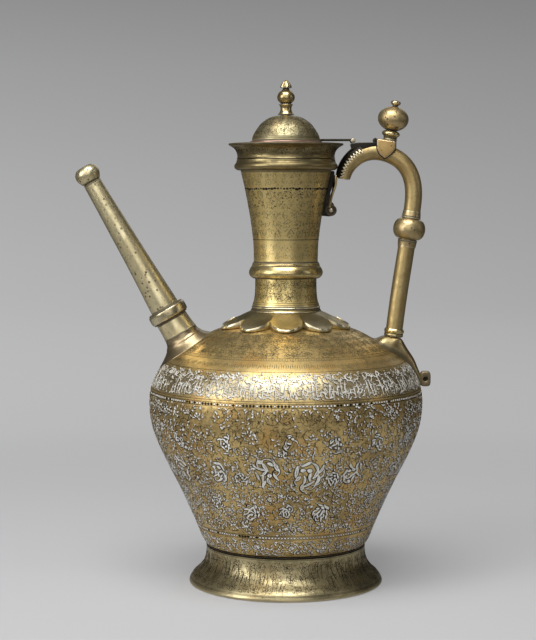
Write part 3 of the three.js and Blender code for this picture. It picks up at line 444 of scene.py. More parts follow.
lookBase = {
    "metal": (0.58, 0.43, 0.20), "stain": (0.30, 0.22, 0.09), "stainShare": 0.6, "warm": (0.52, 0.33, 0.13),
    "warmShare": 0.35, "bright": (0.86, 0.74, 0.48), "edgeShare": 0.7, "dirtAndShade": (0.028, 0.022, 0.014),
    "dirtAndShadeShare": 0.85, "sideShade": 0.0, "cloudScale": 28, "mottleScale": 170, "pitScale": 330,
    "pitSize": 0.22, "pitShare": 0.2, "speckShare": 0.3, "speckFrom": 0.66, "rough": 0.36, "metallic": 0.95,
    "dent": 0.5, "relief": 0.35,
}
looks = {
    "groundBrass": {
        "metal": (0.80, 0.595, 0.255), "stain": (0.29, 0.205, 0.085), "stainShare": 0.72, "pitShare": 0.7,
        "warm": (0.66, 0.41, 0.135), "warmShare": 0.8, "rough": 0.38, "speckShare": 0.8, "speckFrom": 0.59,
        "mottleScale": 260, "bright": (0.84, 0.76, 0.56), "edgeShare": 0.75,
    },
    "footBrass": {
        "metal": (0.54, 0.46, 0.26), "stain": (0.23, 0.19, 0.10), "stainShare": 0.8,
        "warm": (0.46, 0.34, 0.16), "warmShare": 0.4, "rough": 0.35, "speckShare": 0.8, "pitShare": 0.5,
        "mottleScale": 240,
    },
    "shoulderBrass": {
        "metal": (0.46, 0.38, 0.19), "stain": (0.25, 0.21, 0.10), "rough": 0.4, "speckShare": 0.7,
    },
    "neckBrass": {
        "metal": (0.88, 0.69, 0.30), "stain": (0.50, 0.385, 0.155), "stainShare": 0.65, "pitShare": 0.8,
        "warm": (0.79, 0.54, 0.195), "rough": 0.35, "speckShare": 0.8, "dent": 0.8,
    },
    "rimBrass": {
        "metal": (0.36, 0.285, 0.135), "stain": (0.16, 0.125, 0.06), "stainShare": 0.8, "speckShare": 0.8,
        "warm": (0.33, 0.235, 0.10), "rough": 0.34, "bright": (0.6, 0.5, 0.28), "edgeShare": 0.4,
    },
    "lidBrass": {
        "metal": (0.41, 0.36, 0.205), "stain": (0.20, 0.18, 0.095), "stainShare": 0.85, "rough": 0.44,
        "speckShare": 1.0, "dent": 0.9,
    },
    "collarBrass": {
        "metal": (0.42, 0.335, 0.16), "stain": (0.19, 0.155, 0.075), "stainShare": 0.8, "speckShare": 0.5,
        "warm": (0.46, 0.33, 0.13), "rough": 0.33, "bright": (0.95, 0.85, 0.58), "edgeShare": 0.9,
    },
    "ringBrass": {
        "metal": (0.70, 0.56, 0.26), "stain": (0.39, 0.30, 0.13), "rough": 0.27, "speckShare": 0.5,
        "dirtAndShadeShare": 0.95,
    },
    "finialBrass": {
        "metal": (0.52, 0.41, 0.20), "stain": (0.26, 0.20, 0.09), "rough": 0.28, "speckShare": 0.5,
        "dirtAndShadeShare": 1.0, "bright": (0.95, 0.86, 0.6),
    },
    "handleBrass": {
        "metal": (0.56, 0.43, 0.20), "stain": (0.34, 0.25, 0.11), "stainShare": 0.7,
        "warm": (0.47, 0.31, 0.12), "sideShade": 0.4, "warmShare": 0.5, "rough": 0.43, "speckShare": 0.8,
        "speckFrom": 0.62, "pitShare": 0.5, "dent": 0.75,
    },
    "knopBrass": {
        "metal": (0.60, 0.47, 0.25), "stain": (0.36, 0.28, 0.13), "rough": 0.38, "pitScale": 300,
        "pitShare": 1.5, "pitSize": 0.3, "sideShade": 0.4, "speckShare": 0.8, "dent": 0.35,
    },
    "saddleBrass": {
        "metal": (0.52, 0.42, 0.21), "stain": (0.24, 0.18, 0.085), "warm": (0.38, 0.21, 0.10),
        "warmShare": 0.8, "rough": 0.32, "bright": (0.85, 0.70, 0.40), "edgeShare": 0.8, "dirtAndShadeShare": 0.9,
        "dent": 0.9,
    },
    "tailBrass": {
        "metal": (0.15, 0.12, 0.065), "stain": (0.06, 0.048, 0.028), "stainShare": 0.8, "speckShare": 0.8,
        "warm": (0.17, 0.11, 0.07), "bright": (0.42, 0.33, 0.20), "edgeShare": 0.4, "rough": 0.42,
    },
    "spoutBrass": {
        "metal": (0.90, 0.79, 0.49), "stain": (0.52, 0.43, 0.23), "stainShare": 0.7,
        "warm": (0.74, 0.59, 0.31), "sideShade": 0.75, "rough": 0.33, "pitScale": 290, "pitShare": 1.7,
        "pitSize": 0.36, "speckShare": 0.8, "dent": 0.7,
    },
    "sleeveBrass": {
        "metal": (0.92, 0.79, 0.48), "stain": (0.49, 0.40, 0.21), "stainShare": 0.75,
        "warm": (0.70, 0.54, 0.27), "sideShade": 0.7, "rough": 0.33, "speckShare": 0.7, "dent": 0.7,
    },
    "spoutRingBrass": {
        "metal": (0.74, 0.65, 0.42), "sideShade": 0.6, "rough": 0.27, "speckShare": 0.4, "dirtAndShadeShare": 1.0,
    },
    "flareBrass": {
        "metal": (0.44, 0.345, 0.20), "stain": (0.20, 0.15, 0.085), "stainShare": 0.8, "speckShare": 0.6,
        "warm": (0.42, 0.27, 0.15), "sideShade": 0.6, "rough": 0.33, "bright": (0.75, 0.62, 0.4),
        "edgeShare": 0.6, "mottleScale": 120,
    },
    "shieldBrass": {
        "metal": (0.56, 0.39, 0.165), "stain": (0.40, 0.26, 0.10), "rough": 0.45, "pitScale": 340,
        "pitShare": 1.0, "speckShare": 0.9, "bright": (0.95, 0.86, 0.62), "edgeShare": 0.7,
    },
    "buttonBrass": {"metal": (0.70, 0.60, 0.38), "rough": 0.28, "dirtAndShadeShare": 0.95},
    # a near-black metal, used for the lid strap, hinge knuckles, bracket, strap eye, neck lug and the rim
    # behind the shield
    "nearBlackMetal": {
        "metal": (0.022, 0.018, 0.013), "stain": (0.010, 0.009, 0.007), "warm": (0.04, 0.03, 0.018),
        "bright": (0.30, 0.24, 0.13), "edgeShare": 0.3, "rough": 0.52, "metallic": 0.6, "speckShare": 0.6,
    },
    # the teeth's borders take the edge value and turn pale cream on the near-black: a painted highlight along
    # the teeth
    "strapTeeth": {
        "metal": (0.022, 0.018, 0.013), "stain": (0.010, 0.009, 0.007), "warm": (0.04, 0.03, 0.018),
        "bright": (0.92, 0.80, 0.54), "edgeShare": 1.0, "rough": 0.42, "metallic": 0.8, "speckShare": 0.2,
    },
    # painted shade: the mouth plate is coloured near black, as its edge reads dark in shade
    "plateEdgeShade": {
        "metal": (0.085, 0.07, 0.042), "stain": (0.04, 0.034, 0.022), "bright": (0.4, 0.33, 0.2),
        "edgeShare": 0.3, "rough": 0.46, "metallic": 0.8,
    },
    "flangeCopper": {
        "metal": (0.40, 0.20, 0.14), "stain": (0.20, 0.11, 0.075), "warm": (0.48, 0.25, 0.18),
        "bright": (0.62, 0.42, 0.34), "rough": 0.42, "metallic": 0.85,
    },
    "pinBrass": {
        "metal": (0.58, 0.50, 0.36), "stain": (0.3, 0.25, 0.17), "rough": 0.4, "edgeShare": 0.5,
        "bright": (0.8, 0.72, 0.56),
    },
}
finishes = {name: brassFinish(name, {**lookBase, **look}) for name, look in looks.items()}


def silverFinish(name, clean, tarnish, rough):
    # inlaid silver: tarnish in clouds, dull scratches
    f = Finish(name)
    place = f.place()
    cloud = f.step(f.noise(place, 60, 4, 0.6) * 0.5 + f.noise(place, 420, 3, 0.6) * 0.5, 0.4, 0.64)
    fine = f.noise(place, 1500, 3, 0.6)
    finishes[name] = f.set(
        Base_Color=f.colours(cloud, clean, tarnish),
        Roughness=rough + (fine - 0.5) * 0.25 + cloud * 0.1,
        Metallic=0.2,
        Normal=f.bump(fine, 0.00008, 0.5),
    )


def cutFinish(name, deep, light):
    # dark filling of cut lines: nearly black, browner where it has worn
    f = Finish(name)
    place = f.place()
    worn = f.step(f.noise(place, 140, 4, 0.65), 0.45, 0.7)
    finishes[name] = f.set(
        Base_Color=f.colours(worn, deep, light),
        Roughness=0.6 + (f.noise(place, 1200, 2) - 0.5) * 0.3,
        Metallic=0.2,
        Specular_IOR_Level=0.2,
    )


silverFinish("inlaySilver", (0.98, 0.965, 0.91), (0.62, 0.58, 0.48), 0.36)
silverFinish("bandSilver", (0.84, 0.815, 0.745), (0.48, 0.44, 0.34), 0.33)
cutFinish("inlayShadow", (0.010, 0.008, 0.006), (0.045, 0.031, 0.014))
cutFinish("engravedCut", (0.028, 0.021, 0.010), (0.10, 0.072, 0.03))
cutFinish("softCut", (0.085, 0.066, 0.028), (0.20, 0.155, 0.062))
print("finishes made:", len(finishes))

# foot and body
foot = {"wall": 1.8, "ledge": 51, "ledgeThickness": 1.5, "top": 29.7, "sides": 192, "swell": 0.05}
footLine = smoothThrough([
    (73.2, 2.7), (71.5, 5.6), (68.5, 8.6), (65.3, 11.5), (63.0, 14.5), (61.6, 17.4), (60.8, 21.0),
    (60.4, 25.5), (60.5, foot["top"]),
], 60)
ledgeLow = foot["top"] - foot["ledgeThickness"]
footInside = inside(footLine, foot["wall"])[::-1]
footInside = footInside[footInside[:, 1] < ledgeLow - 0.5]
footSection = np.vstack([
    [(72.3, 0.0), (73.2, 0.3), (73.6, 1.1), (73.5, 2.0)], footLine,
    [(foot["ledge"], foot["top"]), (foot["ledge"], ledgeLow), (footInside[0, 0], ledgeLow)], footInside,
    [(71.4, 0.0)],
])
turnedPiece("foot_ring_spun", "foot_ring", densified(footSection, 2), foot["sides"], "footBrass",
            "inlaid_brass", swell=foot["swell"])

body = {"wall": 1.3, "sides": 240, "rows": 136, "swell": 0.12, "rubs": [(158, 9, 0.62)]}
bodyLine = smoothThrough([
    (60.5, 30), (63.1, 33.9), (66.4, 41.6), (72.2, 55.5), (80.7, 74.1), (93.0, 98.7), (98.3, 111.0),
    (102.0, 123.3), (103.4, 135.5), (103.1, 144.7), (101.6, 151.4), (98.9, 157.9), (94.9, 164.3),
    (88.2, 170.6), (78.6, 177.3), (68.6, 184.0), (59.5, 189.2), (49.8, 193.2), (38, 195.8),
], body["rows"])
turnedPiece("body_shell_raised", "body_shell", walled(bodyLine, body["wall"]), body["sides"], "groundBrass",
            "inlaid_brass", swell=body["swell"], rubs=body["rubs"])
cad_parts["base_plate"].data.materials.clear()
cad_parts["base_plate"].data.materials.append(finishes["shoulderBrass"])


class Surface:
    # a turned face by arc length, and what the strokes on it share: their depth and body; its slot is not used
    def __init__(self, line, swell=0, sink=0.15, slot="engraved_brass", body="ewer"):
        self.line = np.asarray(line, float)
        self.length = runs(self.line)
        d = headings(self.line)
        self.out = np.stack([d[:, 1], -d[:, 0]], 1)
        self.swell, self.sink, self.slot, self.body = swell, sink, slot, body

    def radius(self, s):
        # the distance from the axis at a length up the face
        return np.interp(s, self.length, self.line[:, 0])

    def at(self, height):
        # the length up the face where it reaches a height
        order = np.argsort(self.line[:, 1])
        return float(np.interp(height, self.line[order, 1], self.length[order]))

    def point(self, angle, s, lift):
        # the point at an angle and a length up the face, lifted square off it
        r, z = (np.interp(s, self.length, self.line[:, k]) for k in (0, 1))
        outR, outZ = (np.interp(s, self.length, self.out[:, k]) for k in (0, 1))
        if self.swell:
            r = r + handMade(angle, z, self.swell)
        r, z = r + outR * lift, z + outZ * lift
        return np.stack([r * np.cos(angle), r * np.sin(angle), z], -1)


strokeDefaults = {"angle": 0, "s": 0, "turn": 0, "length": 3, "bend": 0, "width": 0.8, "taper": 1.0}


def strokeBatch(**parts):
    # strokes as equal arrays: angle, s (place), turn (heading), length, bend, width, taper
    arrays = np.broadcast_arrays(*[np.asarray(parts.get(k, d), float) for k, d in strokeDefaults.items()])
    return dict(zip(strokeDefaults, [a.ravel().copy() for a in arrays]))


def joined(*batches):
    # several batches of strokes as one
    return {k: np.concatenate([b[k] for b in batches]) for k in strokeDefaults}


def kept(batch, mask):
    # the strokes for which the mask is true
    return {k: v[mask] for k, v in batch.items()}


def inRange(batch, low, high):
    # the strokes whose middles lie between two lengths up the face
    return kept(batch, (batch["s"] > low) & (batch["s"] < high))


def grown(batch, by):
    # the same strokes, wider and longer by a rim all round
    return {**batch, "width": batch["width"] + 2 * by, "length": batch["length"] + 2 * by}


def strokePiece(name, batch, surface, look, lift=0.05, stations=3, sink=None):
    # each stroke is an arc of even bend with a swelling width, laid on the face as a thin closed plate
    sink = surface.sink if sink is None else sink
    part = {key: values[:, None] for key, values in batch.items()}
    bend = np.where(np.abs(part["bend"]) < 1e-3, 1e-3, part["bend"])
    start = part["turn"] - bend / 2
    t = np.linspace(0, 1, stations)[None, :]
    heading = start + bend * t
    size = part["length"] / bend
    x, y = size * (np.sin(heading) - np.sin(start)), size * (np.cos(start) - np.cos(heading))
    x, y = x - x.mean(1, keepdims=True), y - y.mean(1, keepdims=True)
    belly = np.sin(math.pi * (0.09 + 0.82 * t**part["taper"]))
    half = part["width"] / 2 * np.where(part["taper"] > 2.5, 1.0, belly)
    reach = np.maximum(surface.radius(part["s"]), 1.0)
    points = []
    for level in (lift, -sink):
        for side in (-1, 1):
            px, py = x - side * half * np.sin(heading), y + side * half * np.cos(heading)
            points.append(surface.point(part["angle"] + px / reach, part["s"] + py, level))
    # the grid runs by stroke, then station, then right top, left top, right low, left low
    grid = np.stack(points, 2).reshape(-1, 3)
    k = np.arange(stations - 1)[:, None] * 4
    sides = [k + corners for corners in ([0, 4, 5, 1], [2, 3, 7, 6], [2, 6, 4, 0], [1, 5, 7, 3])]
    e = (stations - 1) * 4
    block = np.concatenate([*sides, [[1, 3, 2, 0]], [[e, e + 2, e + 3, e + 1]]])
    quads = (block[None] + (np.arange(len(start)) * stations * 4)[:, None, None]).reshape(-1, 4)
    finishMesh(name, grid, quads, [], look, surface.body, sharp=30)


def ringLine(name, surface, places, width, look="engravedCut", lift=0.05, sink=0.15, sides=192):
    # thin bands right round a face, each a closed strip of even width
    section = [(-width / 2, -sink), (width / 2, -sink), (width / 2, lift), (-width / 2, lift)]
    strip = gridQuads(sides, 4, True)[:, [1, 2, 3, 0]]
    grids = [np.stack([surface.point(around(sides), np.full(sides, s + ds), level) for ds, level in section], 1)
             for s in places]
    quads = np.concatenate([strip + n * sides * 4 for n in range(len(places))])
    finishMesh(name, np.concatenate(grids), quads, [], look, surface.body)


bodyFace = Surface(bodyLine, body["swell"], 0.2, "inlaid_brass")
footFace = Surface(footLine, foot["swell"], 0.2, "inlaid_brass")
print("foot and body turned; face length", round(float(bodyFace.length[-1]), 1), "mm")

# inlay of the body
inlay = {
    "lift": 0.14, "shadowLift": 0.07, "veinLift": 0.17, "sink": 0.25, "rim": 0.4, "motifRim": 0.7,
    "cutShare": 0.38, "shadowSideShift": 0.16,
}
zoneHeights = {"base": (31.6, 44.2), "field": (48.2, 145.2), "band": (150.2, 168.5),
               "strokes": (169.8, 175.5), "shoulder": (178, 193.4)}
zones = {name: tuple(bodyFace.at(height) for height in heights) for name, heights in zoneHeights.items()}
front = -math.pi / 2


def lossField(angle, s):
    # smooth waves between about -1 and 1, to wear silver away in patches
    near = np.sin(3 * angle + 0.11 * s) + np.sin(7 * angle - 0.19 * s + 1.3)
    return (near + np.sin(13 * angle + 0.37 * s + 2.1) + np.sin(0.29 * s + 5 * angle)) / 3


def scrollCells(surface, low, high, cell, leafLength, leafWidth, stemWidth, seed):
    # staggered rows of spiral scrolls: a stem of arcs winding in, with leaves set along it on both sides
    r = np.random.default_rng(seed)
    rows = max(1, round((high - low) / cell))
    pitch = (high - low) / rows
    stems, leaves = [], []
    for row in range(rows):
        middle = low + pitch * (row + 0.5)
        radius = float(surface.radius(middle))
        count = max(6, round(full * radius / cell))
        centre = (np.arange(count) + 0.5 * (row % 2)) * full / count + r.normal(0, 0.02, count)
        spin = np.where((np.arange(count) + row) % 2 == 0, 1.0, -1.0)[:, None]
        first = r.uniform(0, full, count)[:, None]
        k = np.arange(9)[None, :]
        sweep = first + spin * k * 0.95
        reach = pitch * (0.47 - 0.042 * k)
        heading = sweep + spin * math.pi / 2
        stems.append(strokeBatch(
            angle=centre[:, None] + reach * np.cos(sweep) / radius, s=middle + reach * np.sin(sweep),
            turn=heading, length=reach * 0.95, bend=spin * 0.95, width=stemWidth, taper=3.0))
        for side in (-1, 1):
            off = reach + side * leafLength * r.uniform(0.35, 0.6, sweep.shape)
            size = r.uniform(0.6, 1.15, sweep.shape)
            leaves.append(strokeBatch(
                angle=centre[:, None] + off * np.cos(sweep + 0.3) / radius,
                s=middle + off * np.sin(sweep + 0.3),
                turn=heading + side * spin * r.uniform(0.3, 1.2, sweep.shape), length=leafLength * size,
                bend=side * r.uniform(-0.2, 1.3, sweep.shape),
                width=leafWidth * r.uniform(0.7, 1.2, sweep.shape), taper=r.uniform(0.6, 1.5, sweep.shape)))
        leaves.append(strokeBatch(
            angle=centre, s=middle, turn=r.uniform(0, 6.28, count), length=leafLength * 0.8,
            width=leafWidth * 1.3))
    return joined(*stems), joined(*leaves)


def scattered(surface, low, high, count, lengths, widths, seed, curl=1):
    # loose flecks at random over a zone; each stays with a chance that grows with the radius at its place,
    # so that they lie evenly
    r = np.random.default_rng(seed)
    s = r.uniform(low, high, count)
    keep = r.uniform(0, 1, count) < surface.radius(s) / surface.radius(np.linspace(low, high, 9)).max()
    batch = strokeBatch(
        angle=r.uniform(0, full, count), s=s, turn=r.uniform(0, math.pi, count),
        length=r.uniform(*lengths, count), bend=r.normal(0, 0.5, count) * curl,
        width=r.uniform(*widths, count), taper=r.uniform(0.6, 1.6, count))
    return kept(batch, keep)


def whirl(size, r):
    # a loose whirl in its own plane, in mm: commas spaced by the golden angle round the middle, every third
    # a short blob and the lower ones upright, with thin tendrils swung round them
    k = np.arange(13)
    a = k * 2.4 + r.uniform(0, 6.28)
    far = size * 0.42 * np.sqrt((k + 0.4) / 13)
    blob = k % 3 == 1
    length = size * np.where(blob, r.uniform(0.13, 0.19, 13), r.uniform(0.24, 0.38, 13))
    upright = math.pi / 2 + r.normal(0, 0.5, 13)
    heading = np.where(np.sin(a) < 0.1, upright, a + 1.2 + r.normal(0, 0.6, 13))
    commas = [
        far * np.cos(a) * 0.8, far * np.sin(a), heading, length, r.uniform(-0.9, 1.5, 13),
        size * np.where(blob, r.uniform(0.10, 0.14, 13), r.uniform(0.065, 0.105, 13)),
        r.uniform(0.6, 1.5, 13),
    ]
    b = r.uniform(0, 6.28, 7)
    tendrils = [
        size * 0.4 * np.cos(b) * 0.8, size * 0.42 * np.sin(b), b + r.normal(1.3, 0.4, 7),
        size * r.uniform(0.25, 0.4, 7), r.uniform(1, 2.6, 7), 0.75 + 0 * b, 1.4 + 0 * b,
    ]
    return np.hstack([commas, tendrils])


def onFace(surface, parts, angle, s, turn):
    # a motif's strokes carried to a place on the face, turned about their middle
    x, y, heading, length, bend, width, taper = parts
    x, y = x * math.cos(turn) - y * math.sin(turn), x * math.sin(turn) + y * math.cos(turn)
    return strokeBatch(
        angle=angle + x / float(surface.radius(s)), s=s + y, turn=heading + turn, length=length, bend=bend,
        width=width, taper=taper)


def clearOf(batch, others, surface, gap):
    # leaves out the strokes whose middles come within a gap of a motif's strokes
    radius = surface.radius(batch["s"])
    free = np.ones(len(batch["s"]), bool)
    for k in range(0, len(others["s"]), 64):
        some = {key: values[None, k:k + 64] for key, values in others.items()}
        dx = ((batch["angle"][:, None] - some["angle"] + math.pi) % full - math.pi) * radius[:, None]
        dy = batch["s"][:, None] - some["s"]
        reach = gap + some["width"] / 2 + some["length"] * 0.22
        free &= (np.hypot(dx, dy) > reach).all(1)
    return kept(batch, free)


# two broad losses: share, height and reach up the body, angle from the front and reach round it
losses = [(0.62, 132, 16, -0.1, 0.75), (0.2, 116, 16, -0.55, 0.3)]


def silverLeft(batch, base):
    # silver is lost in patches, most on the upper front and the front's left
    r = np.random.default_rng(len(batch["s"]))
    z = np.interp(batch["s"], bodyFace.length, bodyFace.line[:, 1])
    toFront = (batch["angle"] - front + math.pi) % full - math.pi
    worn = base + 0.26 * lossField(batch["angle"], batch["s"])
    for share, height, tall, place, wide in losses:
        worn = worn + share * np.exp(-((z - height) / tall)**2) * np.exp(-((toFront - place) / wide)**2)
    return r.uniform(0, 1, len(z)) > worn


def inlaid(name, batch, look, base, stations=3, rim=inlay["rim"]):
    # silver strokes on slightly wider dark beds, shifted a little to one side as a painted shadow; where silver
    # is lost only a thin brown cut stays
    left = silverLeft(batch, base)
    still, lost = kept(batch, left), kept(batch, ~left)
    strokePiece(name + "_silver", still, bodyFace, look, inlay["lift"], stations, inlay["sink"])
    bed = grown(still, rim)
    # the bed is moved down and round a little, so that it shows as a painted shadow on one side of the silver
    shadowSideShift = inlay["shadowSideShift"]
    bed = {**bed, "s": bed["s"] - shadowSideShift, "angle": bed["angle"] - shadowSideShift / bodyFace.radius(bed["s"])}
    strokePiece(name + "_bed", bed, bodyFace, "inlayShadow", inlay["shadowLift"], stations, inlay["sink"])
    if len(lost["s"]):
        lost = {**lost, "width": lost["width"] * inlay["cutShare"], "length": lost["length"] * 1.05}
        strokePiece(name + "_cuts", lost, bodyFace, "engravedCut", 0.05, stations, inlay["sink"])


def beaded(name, height, pitch, size, look, lift, bedLook=None):
    # evenly spaced small lozenges right round the body, on dark beds where they are inlaid
    s = bodyFace.at(height)
    angle = around(round(full * float(bodyFace.radius(s)) / pitch))
    dots = strokeBatch(angle=angle, s=s, length=size, width=size)
    left = silverLeft(dots, 0.1) | (bedLook is None)
    strokePiece(name + "_dots", kept(dots, left), bodyFace, look, lift, 4)
    if bedLook:
        strokePiece(name + "_bed", grown(dots, 0.35), bodyFace, bedLook, lift / 2, 4)


# each whirl of the field's front quarter: angle from its middle, height and size; the other quarters vary them
whirlPlaces = [
    (-0.16, 98, 26), (0.17, 96, 29), (-0.56, 96, 19), (0.54, 96, 20), (-0.33, 66, 16), (0.33, 66, 17),
    (0.02, 121, 13), (0.35, 118, 14), (-0.45, 120, 14), (0.0, 68, 12), (-0.37, 92, 13), (0.37, 92, 14),
    (-0.68, 72, 13), (0.7, 118, 13),
]
motifs = []
motifRng = np.random.default_rng(11)
for quarter in range(4):
    for angle, height, size in whirlPlaces:
        at = front + quarter * math.pi / 2 + angle + (motifRng.normal(0, 0.03) if quarter else 0)
        lean = motifRng.normal(0, 0.45)
        motifs.append(onFace(bodyFace, whirl(size, motifRng), at, bodyFace.at(height), lean))
motifs = joined(*motifs)

field = {"scroll": 13.0, "flecks": 5100, "commas": 6200, "border": 0.8, "stemBorder": 0.5, "veined": 1.7}
fieldLow, fieldHigh = zones["field"]
border, stemBorder = field["border"], field["stemBorder"]
stems, leaves = scrollCells(bodyFace, fieldLow, fieldHigh, field["scroll"], 2.4, 1.0, 0.3, 3)
flecks = scattered(bodyFace, fieldLow, fieldHigh, field["flecks"], (0.9, 2.5), (0.7, 1.3), 5, 1.2)
commas = scattered(bodyFace, fieldLow, fieldHigh, field["commas"], (1.4, 4.2), (0.34, 0.66), 6, 4)
leaves = clearOf(inRange(leaves, fieldLow + border, fieldHigh - border), motifs, bodyFace, 0.6)
flecks = clearOf(flecks, motifs, bodyFace, 0.4)
commas = clearOf(inRange(commas, fieldLow + border, fieldHigh - border), motifs, bodyFace, 0.2)
stems = clearOf(inRange(stems, fieldLow + stemBorder, fieldHigh - stemBorder), motifs, bodyFace, 0.4)
inlaid("field_leaf_inlay", leaves, "inlaySilver", 0.2)
inlaid("field_fleck_inlay", flecks, "inlaySilver", 0.28)
inlaid("field_whirl_inlay", motifs, "inlaySilver", 0.0, 5, inlay["motifRim"])
big = kept(motifs, (motifs["width"] > field["veined"]) & (motifRng.uniform(0, 1, len(motifs["s"])) < 0.5))
veins = {**big, "width": big["width"] * 0.12, "length": big["length"] * 0.6}
strokePiece("field_whirl_veins", veins, bodyFace, "inlayShadow", inlay["veinLift"], 5, 0)
deep = np.arange(len(commas["s"])) % 5 < 2
strokePiece("field_comma_cuts", kept(commas, ~deep), bodyFace, "engravedCut", 0.055)
strokePiece("field_deep_commas", kept(commas, deep), bodyFace, "inlayShadow", 0.06)
strokePiece("field_stem_cuts", grown(stems, 0.05), bodyFace, "engravedCut")
print("field inlaid:", len(leaves["s"]), "leaves,", len(flecks["s"]), "flecks,", len(stems["s"]), "stems")

# interlace band on the shoulder: tall bars, hooked strokes, knots and small leaves in three rows
band = {"barPitch": 3.1, "knotPitch": 3.7, "leaves": 2700, "commas": 2000, "uprightPitch": 1.7}
bandLow, bandHigh = zones["band"]
bandTall = bandHigh - bandLow
bandGirth = full * float(bodyFace.radius((bandLow + bandHigh) / 2))
bandRng = np.random.default_rng(31)
count = round(bandGirth / band["barPitch"])
step = full / count
barAngle = (np.arange(count) + bandRng.uniform(-0.18, 0.18, count)) * step
tall = np.isin(np.arange(count) % 7, (0, 1, 4))
barLength = np.where(tall, bandRng.uniform(0.5, 0.74, count), bandRng.uniform(0.2, 0.4, count)) * bandTall
barFoot = bandLow + 1.1 + np.where(tall, 0, bandRng.uniform(0, 2.5, count))
bars = strokeBatch(
    angle=barAngle, s=barFoot + barLength / 2, turn=math.pi / 2 + bandRng.normal(0, 0.09, count),
    length=barLength, bend=bandRng.normal(0, 0.35, count), width=bandRng.uniform(0.85, 1.25, count),
    taper=np.where(tall, 1.6, 1.2))
hooks = strokeBatch(
    angle=barAngle + step * 0.5, s=bandLow + bandRng.uniform(1.5, 11, count),
    turn=bandRng.uniform(-1.1, 1.1, count), length=bandRng.uniform(3.2, 6.2, count),
    bend=bandRng.choice([-1, 1], count) * bandRng.uniform(1.0, 3.4, count),
    width=bandRng.uniform(0.9, 1.35, count), taper=1.2)
count = round(bandGirth / band["knotPitch"])
knots = strokeBatch(
    angle=(np.arange(count) + bandRng.uniform(-0.2, 0.2, count)) * full / count,
    s=bandLow + bandTall * bandRng.uniform(0.66, 0.86, count), turn=bandRng.uniform(0, 6.28, count),
    length=bandRng.uniform(6, 9.5, count),
    bend=bandRng.choice([-1, 1], count) * bandRng.uniform(3.8, 5.6, count),
    width=bandRng.uniform(0.7, 0.95, count), taper=3.0)
bandLeaves = scattered(bodyFace, bandLow + 0.8, bandHigh - 0.6, band["leaves"], (1.4, 3.4), (0.55, 0.95), 33, 3)
bandCommas = scattered(bodyFace, bandLow + 0.6, bandHigh - 0.5, band["commas"], (1.2, 3.2), (0.24, 0.42), 34, 4)
strokePiece("band_comma_cuts", bandCommas, bodyFace, "engravedCut", 0.055)
inlaid("band_bar_inlay", bars, "bandSilver", 0.14, 5, 0.3)
inlaid("band_knot_inlay", knots, "bandSilver", 0.16, 9, 0.26)
inlaid("band_leaf_inlay", joined(hooks, bandLeaves), "bandSilver", 0.2, 4, 0.26)

# short upright strokes over the band, beaded lines under it and near the foot
strokeLow, strokeHigh = zones["strokes"]
count = round(full * float(bodyFace.radius(strokeLow)) / band["uprightPitch"])
upright = strokeBatch(
    angle=around(count), s=(strokeLow + strokeHigh) / 2 + bandRng.normal(0, 0.3, count),
    turn=math.pi / 2 + bandRng.normal(0, 0.12, count), length=bandRng.uniform(2.8, 5.6, count),
    bend=bandRng.normal(0, 0.4, count), width=0.42)
strokePiece("band_upright_cuts", upright, bodyFace, "engravedCut", 0.06)
beaded("upper_bead_line", 146.6, 2.5, 1.36, "inlaySilver", 0.16, "inlayShadow")
beaded("lower_bead_line", 46.2, 2.3, 1.45, "inlaySilver", 0.16, "inlayShadow")
beaded("shoulder_dot_line", 177.0, 1.9, 0.8, "engravedCut", 0.07)
ringHeights = (31.0, 44.9, 47.6, 145.4, 148.0, 149.6, 169.2, 176.3, 177.8)
ringLine("body_ring_cuts", bodyFace, [bodyFace.at(z) for z in ringHeights], 0.34)

# the foot: upright strokes, hooks and small scrolls between ring lines, all cut
footTrim = {"low": 4.6, "high": 27.2, "radius": 63, "barPitch": 3.4, "streaks": 900}
footLow, footHigh = footFace.at(footTrim["low"]), footFace.at(footTrim["high"])
footRng = np.random.default_rng(61)
count = round(full * footTrim["radius"] / footTrim["barPitch"])
footAngle = (np.arange(count) + footRng.uniform(-0.25, 0.25, count)) * full / count
footTall = footRng.uniform(8, 14, count)
footBars = strokeBatch(
    angle=footAngle,
    s=footLow + footTall / 2 + footRng.uniform(0, 1, count) * (footHigh - footLow - footTall),
    turn=math.pi / 2 + footRng.normal(0, 0.14, count), length=footTall, bend=footRng.normal(0, 0.4, count),
    width=footRng.uniform(0.3, 0.65, count), taper=1.4)
count = 2 * count
footHooks = strokeBatch(
    angle=footRng.uniform(0, full, count), s=footRng.uniform(footLow + 1.5, footHigh - 1.5, count),
    turn=footRng.uniform(0, 6.28, count), length=footRng.uniform(3, 5.5, count),
    bend=footRng.choice([-1, 1], count) * footRng.uniform(1.2, 3.6, count), width=0.42, taper=1.3)
footScrolls = scrollCells(footFace, footLow, footHigh, 10.2, 2.0, 0.54, 0.28, 62)
footCuts = inRange(joined(footHooks, *footScrolls), footLow + 1.2, footHigh - 1.0)
strokePiece("foot_scroll_cuts", footCuts, footFace, "engravedCut")
strokePiece("foot_upright_cuts", footBars, footFace, "engravedCut", 0.06)
count = footTrim["streaks"]
streaks = strokeBatch(
    angle=footRng.uniform(0, full, count), s=footRng.uniform(footLow - 2, footHigh, count),
    turn=math.pi / 2 + footRng.normal(0, 0.07, count), length=footRng.uniform(2, 6, count), width=0.22)
strokePiece("foot_fine_streaks", inRange(streaks, footLow + 1, footHigh - 2.5), footFace, "softCut", 0.04)
ringLine("foot_joint_line", footFace, [footFace.at(29.3)], 0.9, "inlayShadow")
ringLine("body_joint_line", bodyFace, [bodyFace.at(30.5)], 0.8, "inlayShadow")
ringLine("foot_ring_cuts", footFace, [footFace.at(z) for z in (3.6, 4.3, 27.9, 28.7)], 0.32)

